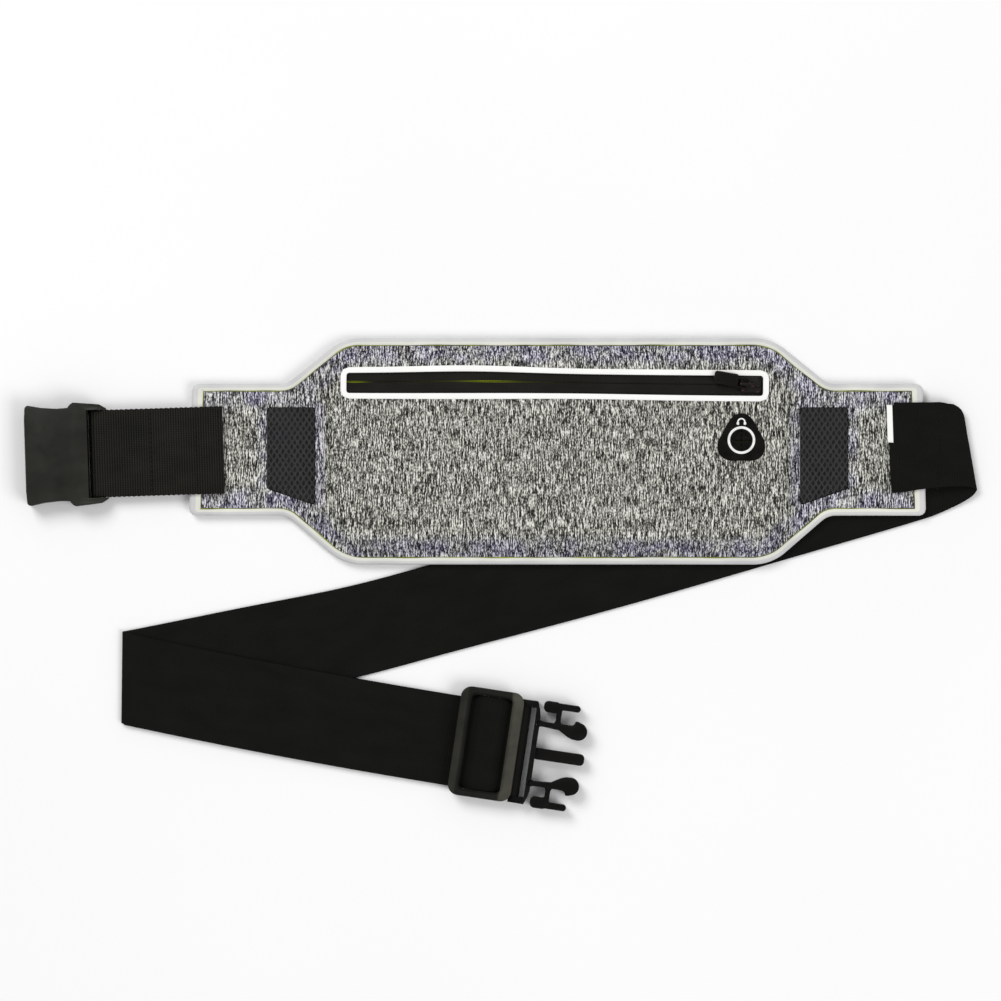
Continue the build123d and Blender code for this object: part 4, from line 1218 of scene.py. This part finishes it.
def webbing_path():
    """The webbing from its upper layer round the socket's bar and back: (reach, z)."""
    bend = SOCKET_BAR_RADIUS + 0.15 + WEBBING_THICK / 2
    top, low = SOCKET_BAR_Z + bend, SOCKET_BAR_Z - bend
    under = level("left_webbing")[1] - WEBBING_THICK - 0.1 - WEBBING_THICK / 2
    arc = [(-bend * math.sin(t), SOCKET_BAR_Z + bend * math.cos(t)) for t in np.linspace(0, math.pi, 40)]
    lower = smooth_path([(0, low), (6, low), (16, under), (WEBBING_RETURN, under)], 5, 0.28)
    upper = [(x, top) for x in np.arange(WEBBING_REACH, 0.2, -0.28)]
    return np.concatenate([upper, arc, lower[1:]])


def webbing():
    """Nylon webbing with cross ribs 1.1 mm apart as real relief, sewn back on itself."""
    path = webbing_path()
    gone = lengths_along(path)
    shares = np.linspace(-1, 1, 41)
    loop_edge = 0.13 * np.sin(2 * math.pi * gone / 2.2)
    lines = []
    for s in shares:
        across = s * WEBBING_WIDTH / 2 + (loop_edge if abs(s) == 1 else 0 * gone) * s
        lines.append([webbing_place(u, v, z) for (u, z), v in zip(path, across)])
    rib = 0.07 * np.sin(2 * math.pi * gone / 1.1)
    knots = np.cos(np.arange(41) * math.pi)
    relief = rib[None] * (0.75 + 0.25 * knots[:, None]) - 0.03
    fade = np.clip((np.abs(gone - WEBBING_REACH - 2) - 6) / 3, 0.0, 1)
    obj, along = ribbon("webbing_ribbed", lines, WEBBING_THICK, 0.2, relief * np.maximum(fade, 0.3)[None])
    finish_piece(obj, "pouch", "webbing", WEBBING, "left_webbing")


def stitches(name, rows, width, where, height, node):
    """Rows of short thread stitches that dip into the strap at both ends."""
    pitch, length = 2.1, 1.45
    verts, polys = [], []
    for row in rows:
        count = int((width - 2) / pitch)
        for i in range(count):
            middle = (i - (count - 1) / 2) * pitch
            path = []
            for s in np.linspace(-1, 1, 7):
                x, y, _ = where(row, middle + s * length / 2, 0)
                path.append((x, y, height + 0.12 - 0.3 * s * s))
            strand(verts, polys, np.array(path), 0.26, 0.2)
    obj = new_mesh(name, np.array(verts), polys)
    finish_piece(obj, "pouch", "thread", THREAD, node)


def tab_label():
    """The strip of white film sewn along the strap's sewn end."""
    section = [(-1.25, -0.1), (-1.25, 0.2), (-1.1, 0.3), (1.1, 0.3), (1.25, 0.2), (1.25, -0.1)]
    loops = []
    for v in np.linspace(2.2, 18.8, 12):
        loops.append([tab_place(u + 0.4 - 0.08 * v, v, TAB_HIGH + z) for u, z in section])
    obj = swept("label_strip", loops)
    finish_piece(obj, "pouch", "reflective_film", FILM_STRIP, "tab_label")


# ---- build ----
front_fabric()
back_fabric()
lining()
binding()
binding_line()
zip_frame_film()
for side in (1, -1):
    zip_tape(side)
    zip_coil(side)
    window_net(side)
port_patch()
ring_print()
headphone_print()
for number in range(1, 5):
    port_petal(number)
elastic_strap()
threaded_strap()
webbing()
webbing_top = level("left_webbing")[1]
stitches("webbing_thread", WEBBING_SEAMS, WEBBING_WIDTH, webbing_place, webbing_top, "webbing_stitches")
stitches("strap_thread", TAB_SEAMS, STRAP_WIDTH, tab_place, TAB_HIGH, "strap_stitches")
tab_label()
MOULDED_PARTS = [
    ("zip_slider_body", "zip_slider", "zip_slider", "zip_metal", SLIDER, 0.25),
    ("zip_puller_tab", "zip_puller", "zip_puller", "zip_pull", PULLER, 0.2),
    ("zip_stop_left_crimp", "zip_stop_left", "pouch", "zip_coil", SLIDER, 0.3),
    ("zip_stop_right_crimp", "zip_stop_right", "pouch", "zip_coil", SLIDER, 0.3),
    ("socket_case", "buckle_socket", "socket", "buckle_plastic", SOCKET, 0.4),
    ("plug_frame", "buckle_plug", "plug", "buckle_plastic", BUCKLE, 0.4),
    ("plug_arm_upper", "buckle_arm_upper", "arm_upper", "buckle_plastic", BUCKLE, 0.5),
    ("plug_arm_lower", "buckle_arm_lower", "arm_lower", "buckle_plastic", BUCKLE, 0.5),
    ("adjuster_frame", "adjuster", "adjuster", "adjuster_plastic", ADJUSTER, 0.4),
]
for part in MOULDED_PARTS:
    softened(*part)


# ---- floor, light and camera ----
VIEW_WIDTH = 443.0
VIEW_MIDDLE = (-25.2, -21.7)
CAMERA_HEIGHT = 2400.0


def floor():
    """A plain pale floor, just under the pack."""
    size = 4000.0
    points = [(x, y, -0.02) for x, y in ((-size, -size), (size, -size), (size, size), (-size, size))]
    obj = new_mesh("floor", np.array(points), [(0, 1, 2, 3)])
    paint = Paint("floor", Roughness=0.9)
    paint.set(Base_Color=paint.ramp(paint.noise(3), (0.3, (250, 250, 250)), (0.7, (253, 253, 253))))
    obj.data.materials.append(paint.material)


def lamp(name, where, size, power):
    """A soft round lamp that points at the middle of the pouch."""
    light = bpy.data.lights.new(name, "AREA")
    light.shape, light.size, light.energy = "DISK", size, power
    obj = bpy.data.objects.new(name, light)
    obj.location = place(where)
    obj.rotation_euler = (Vector(place((0, 0, 0))) - obj.location).to_track_quat("-Z", "Y").to_euler()
    bpy.context.scene.collection.objects.link(obj)


floor()
lamp("key", (-1500, 1700, 2300), 1.7, 52)
lamp("fill", (1900, -1300, 2200), 1.9, 37)
world = bpy.data.worlds.new("studio")
world.use_nodes = True
world.node_tree.nodes["Background"].inputs["Color"].default_value = (1, 1, 1, 1)
world.node_tree.nodes["Background"].inputs["Strength"].default_value = 0.44
bpy.context.scene.world = world
bpy.context.scene.view_settings.view_transform = "Standard"

camera = bpy.data.cameras.new("camera")
camera.sensor_width = 36.0
camera.lens = 36.0 * CAMERA_HEIGHT / VIEW_WIDTH
camera.clip_end = 20.0
eye = bpy.data.objects.new("camera", camera)
eye.location = place((*VIEW_MIDDLE, CAMERA_HEIGHT))
bpy.context.scene.collection.objects.link(eye)
bpy.context.scene.camera = eye
